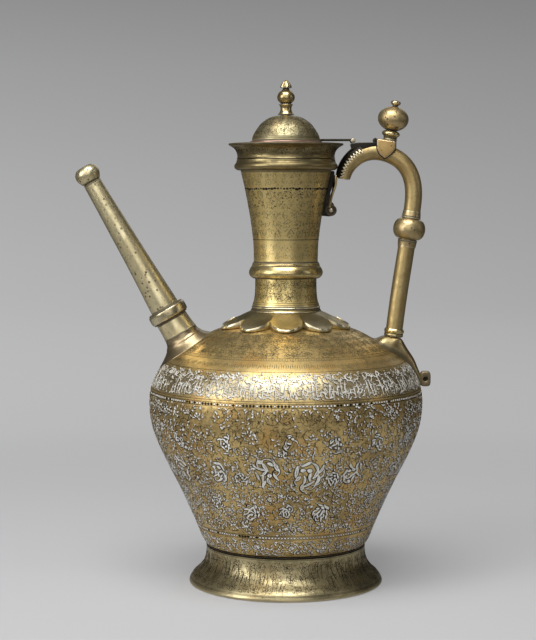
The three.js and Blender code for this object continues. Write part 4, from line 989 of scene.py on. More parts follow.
# leaf scroll low on the body and on the shoulder under the collar
baseLow, baseHigh = zones["base"]
baseStems, baseLeaves = scrollCells(bodyFace, baseLow, baseHigh, 12.5, 2.5, 0.95, 0.32, 41)
baseFlecks = scattered(bodyFace, baseLow, baseHigh, 900, (1.0, 2.8), (0.4, 0.8), 44)
inlaid("base_leaf_inlay", inRange(joined(baseLeaves, baseFlecks), baseLow + 0.5, baseHigh - 0.5),
       "inlaySilver", 0.25)
strokePiece("base_stem_cuts", inRange(baseStems, baseLow, baseHigh), bodyFace, "engravedCut")
topScrolls = scrollCells(bodyFace, *zones["shoulder"], 8.4, 2.4, 0.66, 0.36, 43)
strokePiece("shoulder_leaf_cuts", inRange(joined(*topScrolls), *zones["shoulder"]), bodyFace, "softCut",
            0.06)
topCommas = scattered(bodyFace, *zones["shoulder"], 1800, (0.9, 2.6), (0.24, 0.45), 45, 4)
strokePiece("shoulder_comma_cuts", topCommas, bodyFace, "softCut")
print("bands inlaid")

# collar, neck and rim
collar = {
    "radius": 50, "hole": 23.6, "top": 207, "throat": 26, "lobes": 10, "scallop": 11, "flute": 2.2,
    "wall": 1.2, "rise": 4.4, "columns": 300,
}


def bodyHeight(radius):
    # the height of the body's face at a radius
    return np.interp(radius, bodyLine[::-1, 0], bodyLine[::-1, 1])


def collarShape():
    # a flared sheet from the throat to the shoulder; its outline is cut in between the lobes, where the sheet
    # stands higher, each lobe is a hollow flute, and the lip rolls over and down
    throat, lip = collar["throat"], float(bodyHeight(collar["radius"])) + collar["rise"]
    profile = between((collar["radius"] + 1, lip - 0.2), (throat, collar["top"]), [
        (0, 0), (0.04, 0.03), (0.21, 0.14), (0.36, 0.25), (0.48, 0.37), (0.63, 0.53), (0.75, 0.7),
        (0.88, 0.87), (1, 1),
    ])
    profile = smoothThrough(profile, 80)[::-1]
    angle = around(collar["columns"])
    lobe = np.abs(np.cos((angle + math.pi / 2) * collar["lobes"] / 2))[None, :]**0.8
    cut = collar["radius"] - collar["scallop"] * (1 - lobe)            # the outline's radius
    share = np.concatenate([np.linspace(1, 0.9, 8), np.linspace(0.88, 0, 40)])[:, None]
    radius = throat + (cut - throat) * share
    outward = (radius - collar["hole"]) / (collar["radius"] - collar["hole"])
    height = np.interp(radius, profile[:, 0], profile[:, 1])
    height = height - collar["flute"] * lobe**1.5 * np.sin(math.pi * np.clip(outward * 1.2 - 0.2, 0, 1) / 2)
    ridge = 0.9 * (1 - lobe)**2.5 * np.clip(outward * 1.6 - 0.25, 0, 1)
    height = height + ridge + 0.45 * np.exp(-((1 - share) / 0.03)**2)
    roll = np.linspace(0, 1, 7)[:-1, None]                               # from under the lip up to its top
    ground = bodyHeight(cut - 1.1) + 0.15
    lipRadius = cut - 1.1 + 1.5 * np.sin(math.pi * (0.08 + 0.62 * roll))
    lipRise = 1 - np.cos(math.pi * roll / 1.9)
    lipHeight = ground + (height[:1] - ground) * lipRise / (1 - math.cos(math.pi / 1.9))
    radius, height = np.vstack([lipRadius, radius]), np.vstack([lipHeight, height])
    under = np.minimum(radius, cut - 0.4) - collar["wall"]
    floor = np.maximum(height - collar["wall"], bodyHeight(under) + 0.1)
    outer, inner = (np.stack([r * np.cos(angle), r * np.sin(angle), z], -1)
                    for r, z in ((radius, height), (under, floor)))
    # the rolled lip and the outline's edge take a high edge value, which turns them paler: rubbed brass, and a
    # painted highlight along the lips, strongest at the lobes' middles
    rows = np.concatenate([np.linspace(0.1, 1, 6), 0.95 * np.exp(-((1 - share[:, 0]) / 0.045)**2)])[:, None]
    edge = rows * (0.45 + 0.55 * lobe) + 0.3 * (1 - lobe)**4 * (rows < 0.9)
    return outer, inner, np.clip(edge, 0, 1)


outer, inner, edge = collarShape()
shellPiece("neck_collar_petals", "neck_collar", outer, inner, "collarBrass", "plain_brass", ring=True,
           edge=edge)

neck = {"wall": 1.2, "sides": 144, "lowerSwell": 0.05, "swell": 0.07}
beadSection = [
    (23.6, 206.9), (27.0, 206.7), (26.5, 207.5), (26.0, 208.3), (25.7, 209.0), (25.9, 209.4), (26.0, 209.9),
    (25.8, 210.3), (25.2, 210.5), (23.6, 210.5),
]
lowerLine = np.vstack([[(23.3, 200.3), (23.3, 210.6), (25.3, 210.9)], smoothThrough([
    (25.2, 211.6), (24.7, 213.0), (24.0, 215.4), (23.5, 218.6), (23.3, 221.5), (23.3, 237.3)], 40)])
ringFace = smoothThrough([
    (24.6, 231.4), (26.3, 232.4), (27.6, 234.2), (27.9, 236.2), (27.2, 238.4), (26.1, 240.2),
    (25.5, 240.9)], 22)
ringSection = np.vstack([
    [(23.6, 231.4)], ringFace, [(25.6, 241.5), (25.2, 242.6), (24.7, 243.6), (23.6, 243.6)]])
neckLine = smoothThrough([
    (24.2, 243.9), (24.35, 253), (25.8, 269.2), (28.2, 284.5), (31.7, 302), (34.1, 312.2)], 70)
neckSection = np.vstack([[(23.3, 237.7), (23.3, 243.7)], neckLine, [(34.1, 316.3)]])
rimBeadFace = smoothThrough([
    (35.0, 312.5), (37.0, 312.9), (38.4, 314.0), (38.9, 315.4), (38.6, 316.8), (37.7, 318.0), (37.2, 319.2),
    (37.1, 320.5)], 26)
rimBeadSection = np.vstack([rimBeadFace, [(34.4, 320.5), (34.4, 312.5)]])
rimLine = np.vstack([[(34.1, 316.7), (34.1, 320.7), (36.6, 320.8)], smoothThrough([
    (37.1, 321.2), (36.7, 322.0), (36.6, 323.6), (37.3, 326.4), (39.4, 329.2), (42.4, 331.0)], 30)])
plateSection = [(24, 331.3), (43.2, 331.3), (43.2, 332.6), (24, 332.6)]
neckPieces = [
    ("neck_bead_turned", "neck_bead", eased(beadSection, 0.3, 0.8), "collarBrass", "satin_brass", {}),
    ("lower_neck_tube", "lower_neck", densified(walled(lowerLine, neck["wall"]), 2), "neckBrass",
     "engraved_brass", {"swell": neck["lowerSwell"]}),
    ("neck_ring_turned", "neck_ring", densified(ringSection, 1.2), "ringBrass", "satin_brass",
     {"seams": [(231.6, 1.0), (243.4, 0.7)]}),
    ("neck_tube_flared", "neck_tube", densified(walled(neckSection, neck["wall"]), 2.5), "neckBrass",
     "engraved_brass", {"swell": neck["swell"], "seams": [(311.6, 1.2), (244.0, 0.7)]}),
    ("rim_bead_turned", "rim_bead", densified(rimBeadSection, 1.2), "rimBrass", "satin_brass",
     {"seams": [(312.5, 0.8)]}),
    ("rim_flare_spun", "rim_flare", densified(walled(rimLine, neck["wall"]), 1.5), "rimBrass",
     "engraved_brass", {}),
    # the mouth plate is near black: painted shade
    ("mouth_plate_flat", "mouth_plate", eased(plateSection, 0.5, 2, 4), "plateEdgeShade", "dark_brass", {}),
]
for name, node, section, look, slot, more in neckPieces:
    turnedPiece(name, node, section, neck["sides"], look, slot, **more)

neckFace = Surface(neckLine, neck["swell"])
neckRng = np.random.default_rng(71)
# each zone's label, lowest and highest point, size of scroll, share of the full width and seed
neckScrolls = [
    ("main", 262, 297.5, 7.6, 1.0, 51), ("foot", 246, 258.5, 6.4, 0.7, 56),
    ("top", 300.5, 311.5, 6.4, 0.7, 59),
]
for label, low, high, cell, share, seed in neckScrolls:
    low, high = neckFace.at(low), neckFace.at(high)
    curls = joined(*scrollCells(neckFace, low, high, cell, 1.5, 0.36, 0.22, seed))
    curls = kept(curls, neckRng.uniform(0, 1, len(curls["s"])) < 0.62)
    loose = scattered(neckFace, low, high, round(11 * (high - low)), (0.6, 1.6), (0.2, 0.36), seed + 1, 3)
    curls = inRange(joined(curls, loose), low + 0.3, high - 0.3)
    curls["width"] *= share
    strokePiece("neck_scroll_" + label, curls, neckFace, "softCut" if share < 1 else "engravedCut")
dotAngle = around(round(full * 31 / 2.3))
bunched = np.sin(9 * dotAngle + 1) + np.sin(23 * dotAngle) + neckRng.normal(0, 0.6, len(dotAngle))
highPlace = neckFace.at(298.8) + neckRng.normal(0, 0.18, len(dotAngle)) - np.clip(bunched, 0, 1) * 0.35
highDots = strokeBatch(
    angle=dotAngle, s=highPlace, length=np.clip(2.0 + 0.5 * bunched, 1.3, 2.7),
    width=np.clip(1.6 + 0.25 * bunched, 1.2, 2.0))
lowPlace = neckFace.at(260.8)
lowAngle = around(round(full * float(neckFace.radius(lowPlace)) / 1.2))
lowDots = strokeBatch(angle=lowAngle, s=lowPlace, length=0.9, width=0.8)
strayDots = scattered(neckFace, neckFace.at(284), neckFace.at(298), 170, (0.8, 1.5), (0.6, 1.1), 72)
count = 13
archAngle = around(count) + neckRng.normal(0, 0.12, count)
arches = [strokeBatch(
    angle=archAngle + side * 0.045, s=neckFace.at(264.5) + neckRng.uniform(0, 2.5, count),
    turn=math.pi / 2 + side * neckRng.uniform(0.2, 0.7, count), length=neckRng.uniform(3, 9, count),
    bend=side * 0.7, width=0.34) for side in (-1, 1)]
strokePiece("neck_arch_cuts", joined(*arches), neckFace, "inlayShadow", 0.055, 5)
strokePiece("neck_dots", joined(highDots, lowDots, strayDots), neckFace, "inlayShadow", 0.06, 4)
lowerFace = Surface(lowerLine[3:], neck["lowerSwell"])
lowerScrolls = scrollCells(lowerFace, lowerFace.at(215), lowerFace.at(230.5), 7.0, 2.0, 0.55, 0.32, 53)
lowerFlecks = scattered(lowerFace, lowerFace.at(214.5), lowerFace.at(231), 700, (0.6, 1.5), (0.3, 0.55), 54)
strokePiece("lower_neck_cuts", joined(*lowerScrolls, lowerFlecks), lowerFace, "softCut")
ringLine("lower_neck_rings", lowerFace, [lowerFace.at(z) for z in (212.3, 213.7)], 0.3)
rimFace = Surface(rimLine[3:])
rimScrolls = scrollCells(rimFace, rimFace.at(323.4), rimFace.at(330.2), 6.6, 2.2, 0.5, 0.3, 55)
strokePiece("rim_leaf_cuts", joined(*rimScrolls), rimFace, "engravedCut")
print("collar, neck and rim turned")

# lid and hinge
lid = {"sides": 128, "wall": 1.2, "swell": 0.05, "fluteTop": 374.2, "flutes": 5, "fluteDepth": 0.13}
flangeSection = [(22.0, 329.9), (23.2, 329.9), (23.2, 332.9), (27.1, 332.9), (27.1, 334.2), (22.0, 334.2)]
turnedPiece("lid_flange_copper", "lid_flange", eased(flangeSection, 0.4, 1.5, 4), lid["sides"],
            "flangeCopper", "red_brass", body="lid")
domeLine = smoothThrough(between((25.6, 334.5), (2.5, 353.8), [
    (0, 0), (0.03, 0.18), (0.13, 0.4), (0.277, 0.64), (0.45, 0.81), (0.68, 0.94), (1, 1)]), 60)
turnedPiece("lid_dome_raised", "lid_dome", walled(domeLine, lid["wall"]), lid["sides"], "lidBrass",
            "engraved_brass", body="lid", swell=lid["swell"], seams=[(334.6, 0.9)])
domeFace = Surface(domeLine, lid["swell"], body="lid")
domeScrolls = scrollCells(domeFace, 3.5, 24, 6.5, 1.7, 0.42, 0.27, 57)
domeFlecks = scattered(domeFace, 2, 27, 420, (0.5, 1.3), (0.25, 0.5), 58)
strokePiece("lid_dome_cuts", joined(*domeScrolls, domeFlecks), domeFace, "engravedCut")
ringLine("lid_dome_rings", domeFace, [2.0, 3.0, 25.0], 0.28, sides=lid["sides"])
finialLower = [(6.3, 354.1), (5.6, 354.9), (4.5, 356.6), (4.1, 358.4), (4.35, 360.0), (4.9, 361.2)]
finialBall = [
    (3.9, 362.6), (5.4, 363.9), (6.4, 365.6), (6.6, 367.4), (6.0, 369.4), (4.6, 371.2), (2.9, 372.5),
    (2.3, 373.5)]
finialCone = [(4.35, 374.9), (4.0, 375.8), (3.0, 377.4), (1.9, 378.9), (1.0, 379.7)]
finialCurve = np.vstack([
    [(0, 350.9), (2.2, 350.9), (2.2, 354.0)], smoothThrough(finialLower, 14), [(5.25, 361.7), (5.0, 362.1)],
    [(3.9, 362.3)], smoothThrough(finialBall, 26), [(2.5, 373.9), (3.9, 374.1), (4.3, 374.4)],
    smoothThrough(finialCone, 14), [(0, 380.0)],
])


def gadroon(r, z, angle):
    # shallow flutes round the finial's cone
    flute = np.abs(np.sin(lid["flutes"] * angle))**1.5
    return r * (1 - lid["fluteDepth"] * flute * (z > lid["fluteTop"])), z


turnedPiece("lid_finial_turned", "lid_finial", densified(finialCurve, 0.8, closed=False), 80, "finialBrass",
            "plain_brass", body="lid", closed=False, warp=gadroon,
            seams=[(354.1, 0.7), (362.2, 0.6), (373.8, 0.6)])

hinge = {"x": 50, "z": 334.6, "bore": 1.1, "knuckle": 1.9}
hingePlace = across(hinge["x"], hinge["z"])
strapPlate = [(24.6, 334.5), (47.5, 334.5), (47.5, 336.0), (24.6, 336.0)]
strapTongue = [(45.5, 334.5), (49.0, 334.5), (49.4, 336.0), (45.5, 336.0)]
slabPiece("lid_strap_plate", "lid_strap", strapPlate, 10.6, "nearBlackMetal", radius=0.3, body="lid")
slabPiece("lid_strap_tongue", "lid_strap", strapTongue, 5.2, "nearBlackMetal", bevel=0.2, radius=0.2, body="lid")
knuckles = [
    ("lid_knuckle", "lid_strap", -2.6, 2.6, "lid"),
    ("bracket_knuckle_front", "hinge_bracket", -5.6, -2.95, "ewer"),
    ("bracket_knuckle_back", "hinge_bracket", 2.95, 5.6, "ewer")]
for name, node, low, high, holder in knuckles:
    section = [(hinge["bore"], low), (hinge["knuckle"], low), (hinge["knuckle"], high), (hinge["bore"], high)]
    turnedPiece(name, node, eased(section, 0.3, 0.8, 4), 32, "nearBlackMetal", "dark_brass", hingePlace, holder)
pinLine = headed([(0.02, -6.9), (1.6, -6.7), (1.65, -5.95), (0.8, -5.9)], 0.5)
turnedPiece("lid_hinge_pin_headed", "lid_hinge_pin", pinLine, 32, "pinBrass", "pale_brass", hingePlace,
            closed=False)
print("lid made")

# handle
handle = {
    "radius": 6.4, "wall": 1.2, "sides": 56, "archRows": 150, "lowRows": 70, "knopHeight": 268.5,
    "knopStep": 10.9, "ringStep": 3.2, "taper": 1.7, "taperRun": 30,
}
handleLine = smoothThrough([
    (45.1, 305.7), (46.48, 312.12), (49.59, 317.85), (54.9, 323.03), (62.4, 326.24), (71.13, 326.24),
    (80.11, 323.45), (87.46, 318.55), (92.62, 311.57), (95.58, 302.48), (96.14, 292.56), (95.27, 283.47),
    (93.23, 269.77), (90.32, 249.93), (86.8, 227.01), (81.49, 187.03),
], 600)
handleRun = runs(handleLine)
handleLength = float(handleRun[-1])


def handlePoint(run):
    # the point of the centre line at a length along it
    return np.stack([np.interp(run, handleRun, handleLine[:, k]) for k in (0, 1)], -1)


def handleAt(run):
    # the point at a length along the centre line and its heading there, from points 0.4 mm before and after
    run = np.asarray(run)
    q = handlePoint(run + 0.4) - handlePoint(run - 0.4)
    return handlePoint(run), q / np.linalg.norm(q, axis=-1, keepdims=True)


def handleSheets(run, sizes, a):
    # rings or part rings of points square to the centre line, one grid for each size; the arch's cut end is
    # slimmer on the side of the grip
    p, q = handleAt(run)
    out = np.stack([-q[:, 1], q[:, 0]], 1)           # square to the line, away from the grip
    slim = handle["taper"] * np.clip(1 - run / handle["taperRun"], 0, 1)[:, None]**1.6
    grids = []
    for size in sizes:
        away = (size - slim) * np.cos(a) + slim
        x, z = (p[:, k:k + 1] + out[:, k:k + 1] * away for k in (0, 1))
        grids.append(np.stack([x, (size - slim) * np.sin(a), z], -1))
    return grids


def handleTube(name, node, start, end, rows):
    # a bent tube round the centre line, outside and bore, its ends eased
    run, a = np.linspace(start, end, rows), around(handle["sides"])
    toEnd = np.minimum(run - start, end - run)
    ripple = handMade(a[None, :], run[:, None] * 1.5, 0.05)
    ends = np.exp(-(toEnd / 0.35)**2)[:, None]
    sizes = [handle["radius"] - 0.35 * ends + ripple, handle["radius"] - handle["wall"] + 0.2 * ends + ripple]
    edge = np.exp(-(toEnd / 0.8)**2)[:, None] + 0 * a
    shellPiece(name, node, *handleSheets(run, sizes, a), "handleBrass", "satin_brass", ring=True, edge=edge)


knopRun = float(np.interp(-handle["knopHeight"], -handleLine[300:, 1], handleRun[300:]))
handleTube("handle_arch_tube", "handle_arch", 0, knopRun - 0.15, handle["archRows"])
handleTube("handle_lower_tube_drawn", "handle_lower_tube", knopRun + 0.15, handleLength, handle["lowRows"])


def threaded(run):
    # a turned ring's axis laid along the handle's line, its top towards the arch
    p, q = handleAt(run)
    return standing(math.degrees(math.atan2(-q[0], -q[1])), float(p[0]), float(p[1]))


def lumps(r, z, angle):
    # hammered dents on the ring's upper roll
    return r + 0.22 * np.sin(9 * angle + 1) * np.sin(4 * angle) * (z > -0.3) * (r > 6.7), z


knopTurn = np.linspace(0, math.pi, 33)
knopFace = np.stack([6.9 + (12.1 - 6.9) * np.sin(knopTurn), -7.6 * np.cos(knopTurn)], 1)
collarSection = np.array([
    (6.62, -3), (7.1, -3), (7.3, -2.5), (7.2, -1.9), (6.85, -1.5), (7.15, -1.2), (7.05, -0.6), (6.85, 0.6),
    (6.7, 2.2), (6.62, 3),
])
footRingSection = [
    (6.62, -2.9), (7.0, -2.9), (7.25, -2.2), (7.15, -1.2), (6.95, -0.6), (7.2, 0.1), (7.5, 0.9), (7.45, 1.8),
    (7.0, 2.6), (6.8, 2.9), (6.62, 2.9),
]
lowerSection = densified(rounded(collarSection * [1.015, -1], 0.3, 3)[::-1], 0.8)
handleRings = [
    ("handle_knop_turned", "handle_knop", np.vstack([knopFace, [(6.7, 7.6), (6.7, -7.6)]]), 72, "knopBrass",
     knopRun, {"swell": 0.1}),
    ("knop_upper_collar_turned", "knop_upper_collar", eased(collarSection, 0.3, 0.8), 64, "knopBrass",
     knopRun - handle["knopStep"], {"seams": [(-3.0, 0.9), (-1.5, 0.5)]}),
    ("knop_lower_collar_turned", "knop_lower_collar", lowerSection, 64, "knopBrass",
     knopRun + handle["knopStep"], {"seams": [(3.0, 0.9), (1.5, 0.5)]}),
    ("handle_foot_ring_turned", "handle_foot_ring", eased(footRingSection, 0.4, 0.8), 64, "ringBrass",
     handleLength - handle["ringStep"], {"warp": lumps, "seams": [(-2.9, 1.0), (-0.6, 0.6)]}),
]
for name, node, section, sides, look, run, more in handleRings:
    turnedPiece(name, node, section, sides, look, "satin_brass", threaded(run), **more)

saddle = {
    "eyeX": 105.93, "eyeZ": 154.98, "eyeHalf": 3.9, "eyeRise": 5.7, "eyeHole": 1.7, "rows": 96,
    "columns": 81, "stations": [0, 0.05, 0.12, 0.28, 0.42, 0.56, 0.8, 1.0],
    "widths": [5.0, 9.4, 12.0, 12.4, 9.6, 6.6, 5.0, 4.2], "flats": [0.5, 4.2, 5.8, 5.8, 3.2, 1.4, 0.9, 0.8],
}


def soften(values):
    # running mean with a bell-shaped window
    bell = np.hanning(15)[1:-1]
    return np.convolve(np.pad(values, 6, mode="edge"), bell / bell.sum(), "valid")


def saddleShape():
    # its ridge follows this outline in the XZ plane: up from the throat side, level under the handle, then
    # down to the eye; each ridge point is measured from the body's nearest point: how far along, how far off
    ridge = np.vstack([
        smoothThrough([(67.6, 184.6), (69.3, 185.2), (71.6, 186.6), (74.2, 187.6)], 16),
        between((74.2, 187.6), (87.6, 185.9), np.linspace(0.05, 1, 14)[:, None] * [1, 1]),
        smoothThrough([
            (88.0, 185.3), (89.6, 182.4), (92.3, 177.6), (95.1, 173.4), (97.5, 169.4), (99.9, 163.6),
            (101.6, 159.8), (103.2, 155.4), (104.0, 152.0)], 50),
    ])
    away = np.linalg.norm(ridge[:, None] - bodyLine[None], axis=2)
    near = away.argmin(1)
    s, high = bodyFace.length[near], away[np.arange(len(ridge)), near]
    order = np.argsort(-s, kind="stable")
    s, high = s[order], high[order]
    rows = np.linspace(s[0] + 0.6, s[-1] - 0.5, saddle["rows"])
    high = soften(np.interp(-rows, -s, high, left=0.15, right=1.6))
    share = (rows[0] - rows) / (rows[0] - rows[-1])
    wide, flat = (soften(np.interp(share, saddle["stations"], saddle[key]))[:, None]
                  for key in ("widths", "flats"))
    strap = soften(np.interp(share, [0, 0.3, 0.5, 1.0], [0.15, 0.15, 0.9, 1.0]))[:, None]
    y = np.sin(np.linspace(-math.pi / 2, math.pi / 2, saddle["columns"]))[None, :] * wide
    u = np.clip((np.abs(y) - flat) / (wide - flat), 0, 1)
    dome = (1 - u * u * (2 - u)) * (1 - strap) + np.sqrt(1 - u * u) * strap
    angle = y / bodyFace.radius(rows)[:, None]
    outer = bodyFace.point(angle, rows[:, None] + 0 * angle, high[:, None] * dome + 0.1)
    inner = bodyFace.point(angle, rows[:, None] + 0 * angle, -0.25 + 0 * angle)
    # a paler stripe along each side of the ridge, from the edge value: a painted highlight, partly rubbed brass
    crestHighlight = np.exp(-((np.abs(y) - 1.4) / 1.7)**2)
    edge = 0.8 * crestHighlight * np.interp(share, [0, 0.35, 0.45, 1.0], [0.1, 0.3, 0.9, 0.6])[:, None]
    # the saddle's side borders are darkened through the crease value: painted contact shade where it meets the
    # body
    contactShade = np.clip((np.abs(y) / wide - 0.8) / 0.2, 0, 1)
    return outer[:, ::-1], inner[:, ::-1], edge[:, ::-1], contactShade[:, ::-1]


def knuckleBlock(r, z, angle):
    # the eye's round section becomes an upright block with soft corners; the bore stays round
    power, hole, half, rise = 4.0, saddle["eyeHole"], saddle["eyeHalf"], saddle["eyeRise"]
    reach = (np.abs(np.cos(angle) / half)**power + np.abs(np.sin(angle) / rise)**power)**(-1 / power)
    return hole + (r - hole) / (half - hole) * (reach - hole), z


outer, inner, edge, contactShade = saddleShape()
shellPiece("handle_saddle_leaf", "handle_saddle", outer, inner, "saddleBrass", "plain_brass", edge=edge,
           hollow=contactShade)
eyePlace = across(saddle["eyeX"], saddle["eyeZ"])
eyeSection = eased([(1.7, -2.9), (3.9, -2.9), (3.9, 2.9), (1.7, 2.9)], 0.7, 0.8, 4)
turnedPiece("saddle_tail_eye", "handle_saddle", eyeSection, 64, "tailBrass", "plain_brass", eyePlace,
            warp=knuckleBlock)
# a near-black rod filling the eye's bore: painted shade inside the hole
shadePlugLine = headed([(0.02, -1.9), (1.66, -1.8)], 0.2)
turnedPiece("saddle_tail_shade_plug", "handle_saddle", shadePlugLine, 32, "inlayShadow", "dark_brass", eyePlace,
            closed=False)
print("handle and saddle made")

# ferrule, finial, bracket and strap
shield = np.array([
    (68.1, 336.0), (68.1, 328.6), (69.7, 324.8), (73.9, 321.4), (78.6, 324.5), (81.8, 328.4), (81.9, 333.95),
])
slabPiece("handle_ferrule_shield", "handle_ferrule", shield, 16.4, "shieldBrass", 0.9, 1.3)
# a slightly larger, thinner near-black slab behind the shield, which shows as a dark rim round it: painted
# shade at the shield's edge
shieldMiddle = np.mean(shield, axis=0)
shieldShadeRim = shieldMiddle + (shield - shieldMiddle) * [1.09, 1.08] + [0.0, -0.35]
slabPiece("handle_ferrule_shade_rim", "handle_ferrule", shieldShadeRim, 14.2, "nearBlackMetal", 0.4, 1.4)

finial = {
    "lean": 8.9, "x": 78.0, "z": 334.58 + 0.3, "ball": 11.6, "ballRise": 9.25, "ballFoot": 7.1, "wall": 1.4,
}
finialPlace = standing(finial["lean"], finial["x"], finial["z"])
ringCurve = turnedKnob([
    (0, 0), (5.6, 0), (5.2, 0.7), (4.9, 1.5), (5.3, 3.1), (6.3, 3.9), (6.8, 4.6), (6.8, 5.5), (6.1, 6.5),
    (5.0, 7.1), (4.6, 7.4), (2.6, 7.5), (2.6, 16.5), (0, 16.5),
], 0.35, 0.8)
turnedPiece("finial_ring_turned", "finial_ring", ringCurve, 64, "ringBrass", "satin_brass", finialPlace,
            closed=False, seams=[(7.2, 0.8), (2.0, 1.0), (0.2, 0.6)])
ballTurn = np.linspace(math.asin(2.9 / finial["ball"]), math.pi - math.asin(1.6 / finial["ball"]), 40)
ballHeight = finial["ballFoot"] + finial["ballRise"] * (1 - np.cos(ballTurn))
ballLine = np.stack([finial["ball"] * np.sin(ballTurn), ballHeight], 1)
turnedPiece("finial_ball_raised", "finial_ball", walled(ballLine, finial["wall"]), 96, "knopBrass",
            "satin_brass", finialPlace, swell=0.08, seams=[(7.4, 1.2)])
buttonCurve = turnedKnob([
    (0, 22.9), (1.3, 22.9), (1.3, 25.7), (2.2, 25.7), (2.1, 26.6), (3.4, 27.2), (3.85, 28.2), (3.5, 29.4),
    (2.2, 30.2), (0, 30.45),
], 0.45, 0.5)
turnedPiece("finial_button_turned", "finial_button", buttonCurve, 48, "buttonBrass", "pale_brass",
            finialPlace, closed=False, seams=[(25.8, 0.6)])

bracketWedge = [
    (48.3, 332.2), (49.2, 329.0), (52.5, 325.8), (58, 328), (67.8, 331.2), (67.8, 333.4), (60, 333.3),
    (52.4, 333.2), (50.6, 332.4),
]
bracketCurl = [(65.6, 333.0), (67.9, 333.0), (68.0, 336.0), (67.2, 337.0), (66.0, 336.6), (65.4, 335.4)]
slabPiece("hinge_bracket_wedge", "hinge_bracket", bracketWedge, 11.2, "nearBlackMetal", radius=0.5)
slabPiece("hinge_bracket_curl", "hinge_bracket", bracketCurl, 11.2, "nearBlackMetal", radius=0.9)

strap = {
    "rows": 241, "columns": 41, "teeth": 11, "start": 0.7, "share": 0.128, "outside": 8.15, "bore": 6.7,
    "half": 77, "tooth": 21, "pinX": 33.9, "pinZ": 282.5,
}


def toothedStrap():
    # a half pipe over the arch's end; its long edges run in and out in even teeth
    run = np.linspace(strap["start"], strap["share"] * handleLength, strap["rows"])
    wave = np.abs((run / (run[-1] - run[0]) * strap["teeth"] * 2) % 2 - 1)
    half = np.radians(strap["half"] + strap["tooth"] * (wave - 0.5))[:, None]
    a = half * np.linspace(-1, 1, strap["columns"])[None, :]
    # the borders of the teeth get a high edge value: a painted highlight along them
    edge = np.clip((np.abs(a) - half + np.radians(13)) / np.radians(6), 0, 1)
    return *handleSheets(run, (strap["outside"], strap["bore"]), a), edge


outer, inner, edge = toothedStrap()
shellPiece("handle_strap_teeth", "handle_strap", outer, inner, "strapTeeth", "dark_brass", sharp=30,
           edge=edge)
barLine = smoothThrough([(38.4, 309), (38.3, 302.1), (36.2, 295.6), (34.5, 289.1), (33.9, 284.5)], 14)
barOutline = np.vstack([barLine, (barLine - [2.1, 0])[::-1]])
slabPiece("handle_strap_bar", "handle_strap", barOutline, 6.4, "handleBrass", bevel=0.45, radius=0.2)
eyeRing = [
    (1.9, -2.7), (3.1, -2.6), (3.3, -3.1), (3.8, -3.3), (4.3, -2.9), (4.35, 0), (4.3, 2.9), (3.8, 3.3),
    (3.3, 3.1), (3.1, 2.6), (1.9, 2.7),
]
strapPlace = across(strap["pinX"], strap["pinZ"])
turnedPiece("handle_strap_eye", "handle_strap", eased(eyeRing, 0.3, 1), 48, "nearBlackMetal", "dark_brass",
            strapPlace)
strapPin = headed([(0.02, -4.1), (1.2, -4.0), (1.75, -3.3), (1.6, -2.6)], 0.5)
turnedPiece("strap_pin_headed", "strap_pin", strapPin, 40, "pinBrass", "pale_brass", strapPlace, closed=False)
lugOutline = [
    (26.8, 278.4), (33.0, 277.8), (36.4, 279.6), (37.4, 282.5), (36.0, 287.5), (33.2, 290.0), (33.4, 295.6),
    (35.7, 302.1), (36.5, 309.0), (36.6, 311.9), (33.9, 312.2), (30.0, 296),
]
slabPiece("neck_lug_web", "neck_lug", lugOutline, 2.6, "nearBlackMetal", bevel=0.5)
print("ferrule, finial, bracket and strap made")

# spout
spout = {
    "lean": -29.9, "x": -89.23, "z": 204.88, "sides": 96, "wall": 1.2, "columns": 144, "rows": 30,
    "bore": 9.6, "sleeveEnd": -18.05,
}
spoutPlace = standing(spout["lean"], spout["x"], spout["z"])


def settled(r, z, angle):
    # the sleeve leans in towards the neck, more so near the shoulder
    return r + 0.045 * np.cos(angle) * np.clip(-4.9 - z, 0, 13.2) * (r > 10), z


spoutRing = [
    (11.4, -4.6), (13.8, -4.6), (13.9, -3.7), (14.7, -3.2), (14.95, -1.8), (15.0, 0), (14.95, 1.8),
    (14.7, 3.2), (13.9, 3.7), (13.8, 4.6), (11.4, 4.6),
]
tubeLine = np.vstack([[(11.1, 0.15)], smoothThrough([
    (11.1, 4.9), (10.95, 9), (10.4, 20), (9.4, 40), (8.6, 60), (7.95, 80), (7.35, 98), (6.9, 113.9)], 90)])
sleeveSection = np.vstack([
    smoothThrough([(13.2, -17.8), (12.85, -15.5), (12.4, -10), (12.25, -4.9)], 20),
    [(11.1, -4.85), (11.1, -0.2), (spout["bore"], -0.2), (spout["bore"], -17.8)],
])
bulbSection = np.vstack([between((0, 114.2), (9.6, 126.8), [
    (0.74, 0), (0.84, 0.16), (0.96, 0.34), (1, 0.54), (0.93, 0.76), (0.77, 0.91), (0.56, 1), (0.4, 0.985),
    (0.375, 0.93)]), [(3.6, 120), (3.6, 114.2)]])
spoutPieces = [
    ("spout_ring_turned", "spout_ring", eased(spoutRing, 0.4, 1), spout["sides"], "spoutRingBrass",
     "pale_brass", {"seams": [(-4.4, 0.6), (4.4, 0.6)]}),
    ("spout_tube_tapered", "spout_tube", densified(walled(tubeLine, spout["wall"]), 2.5), spout["sides"],
     "spoutBrass", "satin_brass", {"swell": 0.09, "seams": [(113.6, 1.6), (5.0, 0.9)]}),
    ("spout_sleeve_tapered", "spout_sleeve", densified(sleeveSection, 1.2), spout["sides"], "sleeveBrass",
     "satin_brass", {"warp": settled, "seams": [(-5.0, 1.0), (-17.6, 0.7)]}),
    ("spout_tip_bulb", "spout_tip", eased(bulbSection, 1.4, 0.9, 4), 72, "spoutBrass", "satin_brass",
     {"swell": 0.06, "seams": [(114.4, 1.1)]}),
]
for name, node, section, sides, look, slot, more in spoutPieces:
    turnedPiece(name, node, section, sides, look, slot, spoutPlace, **more)


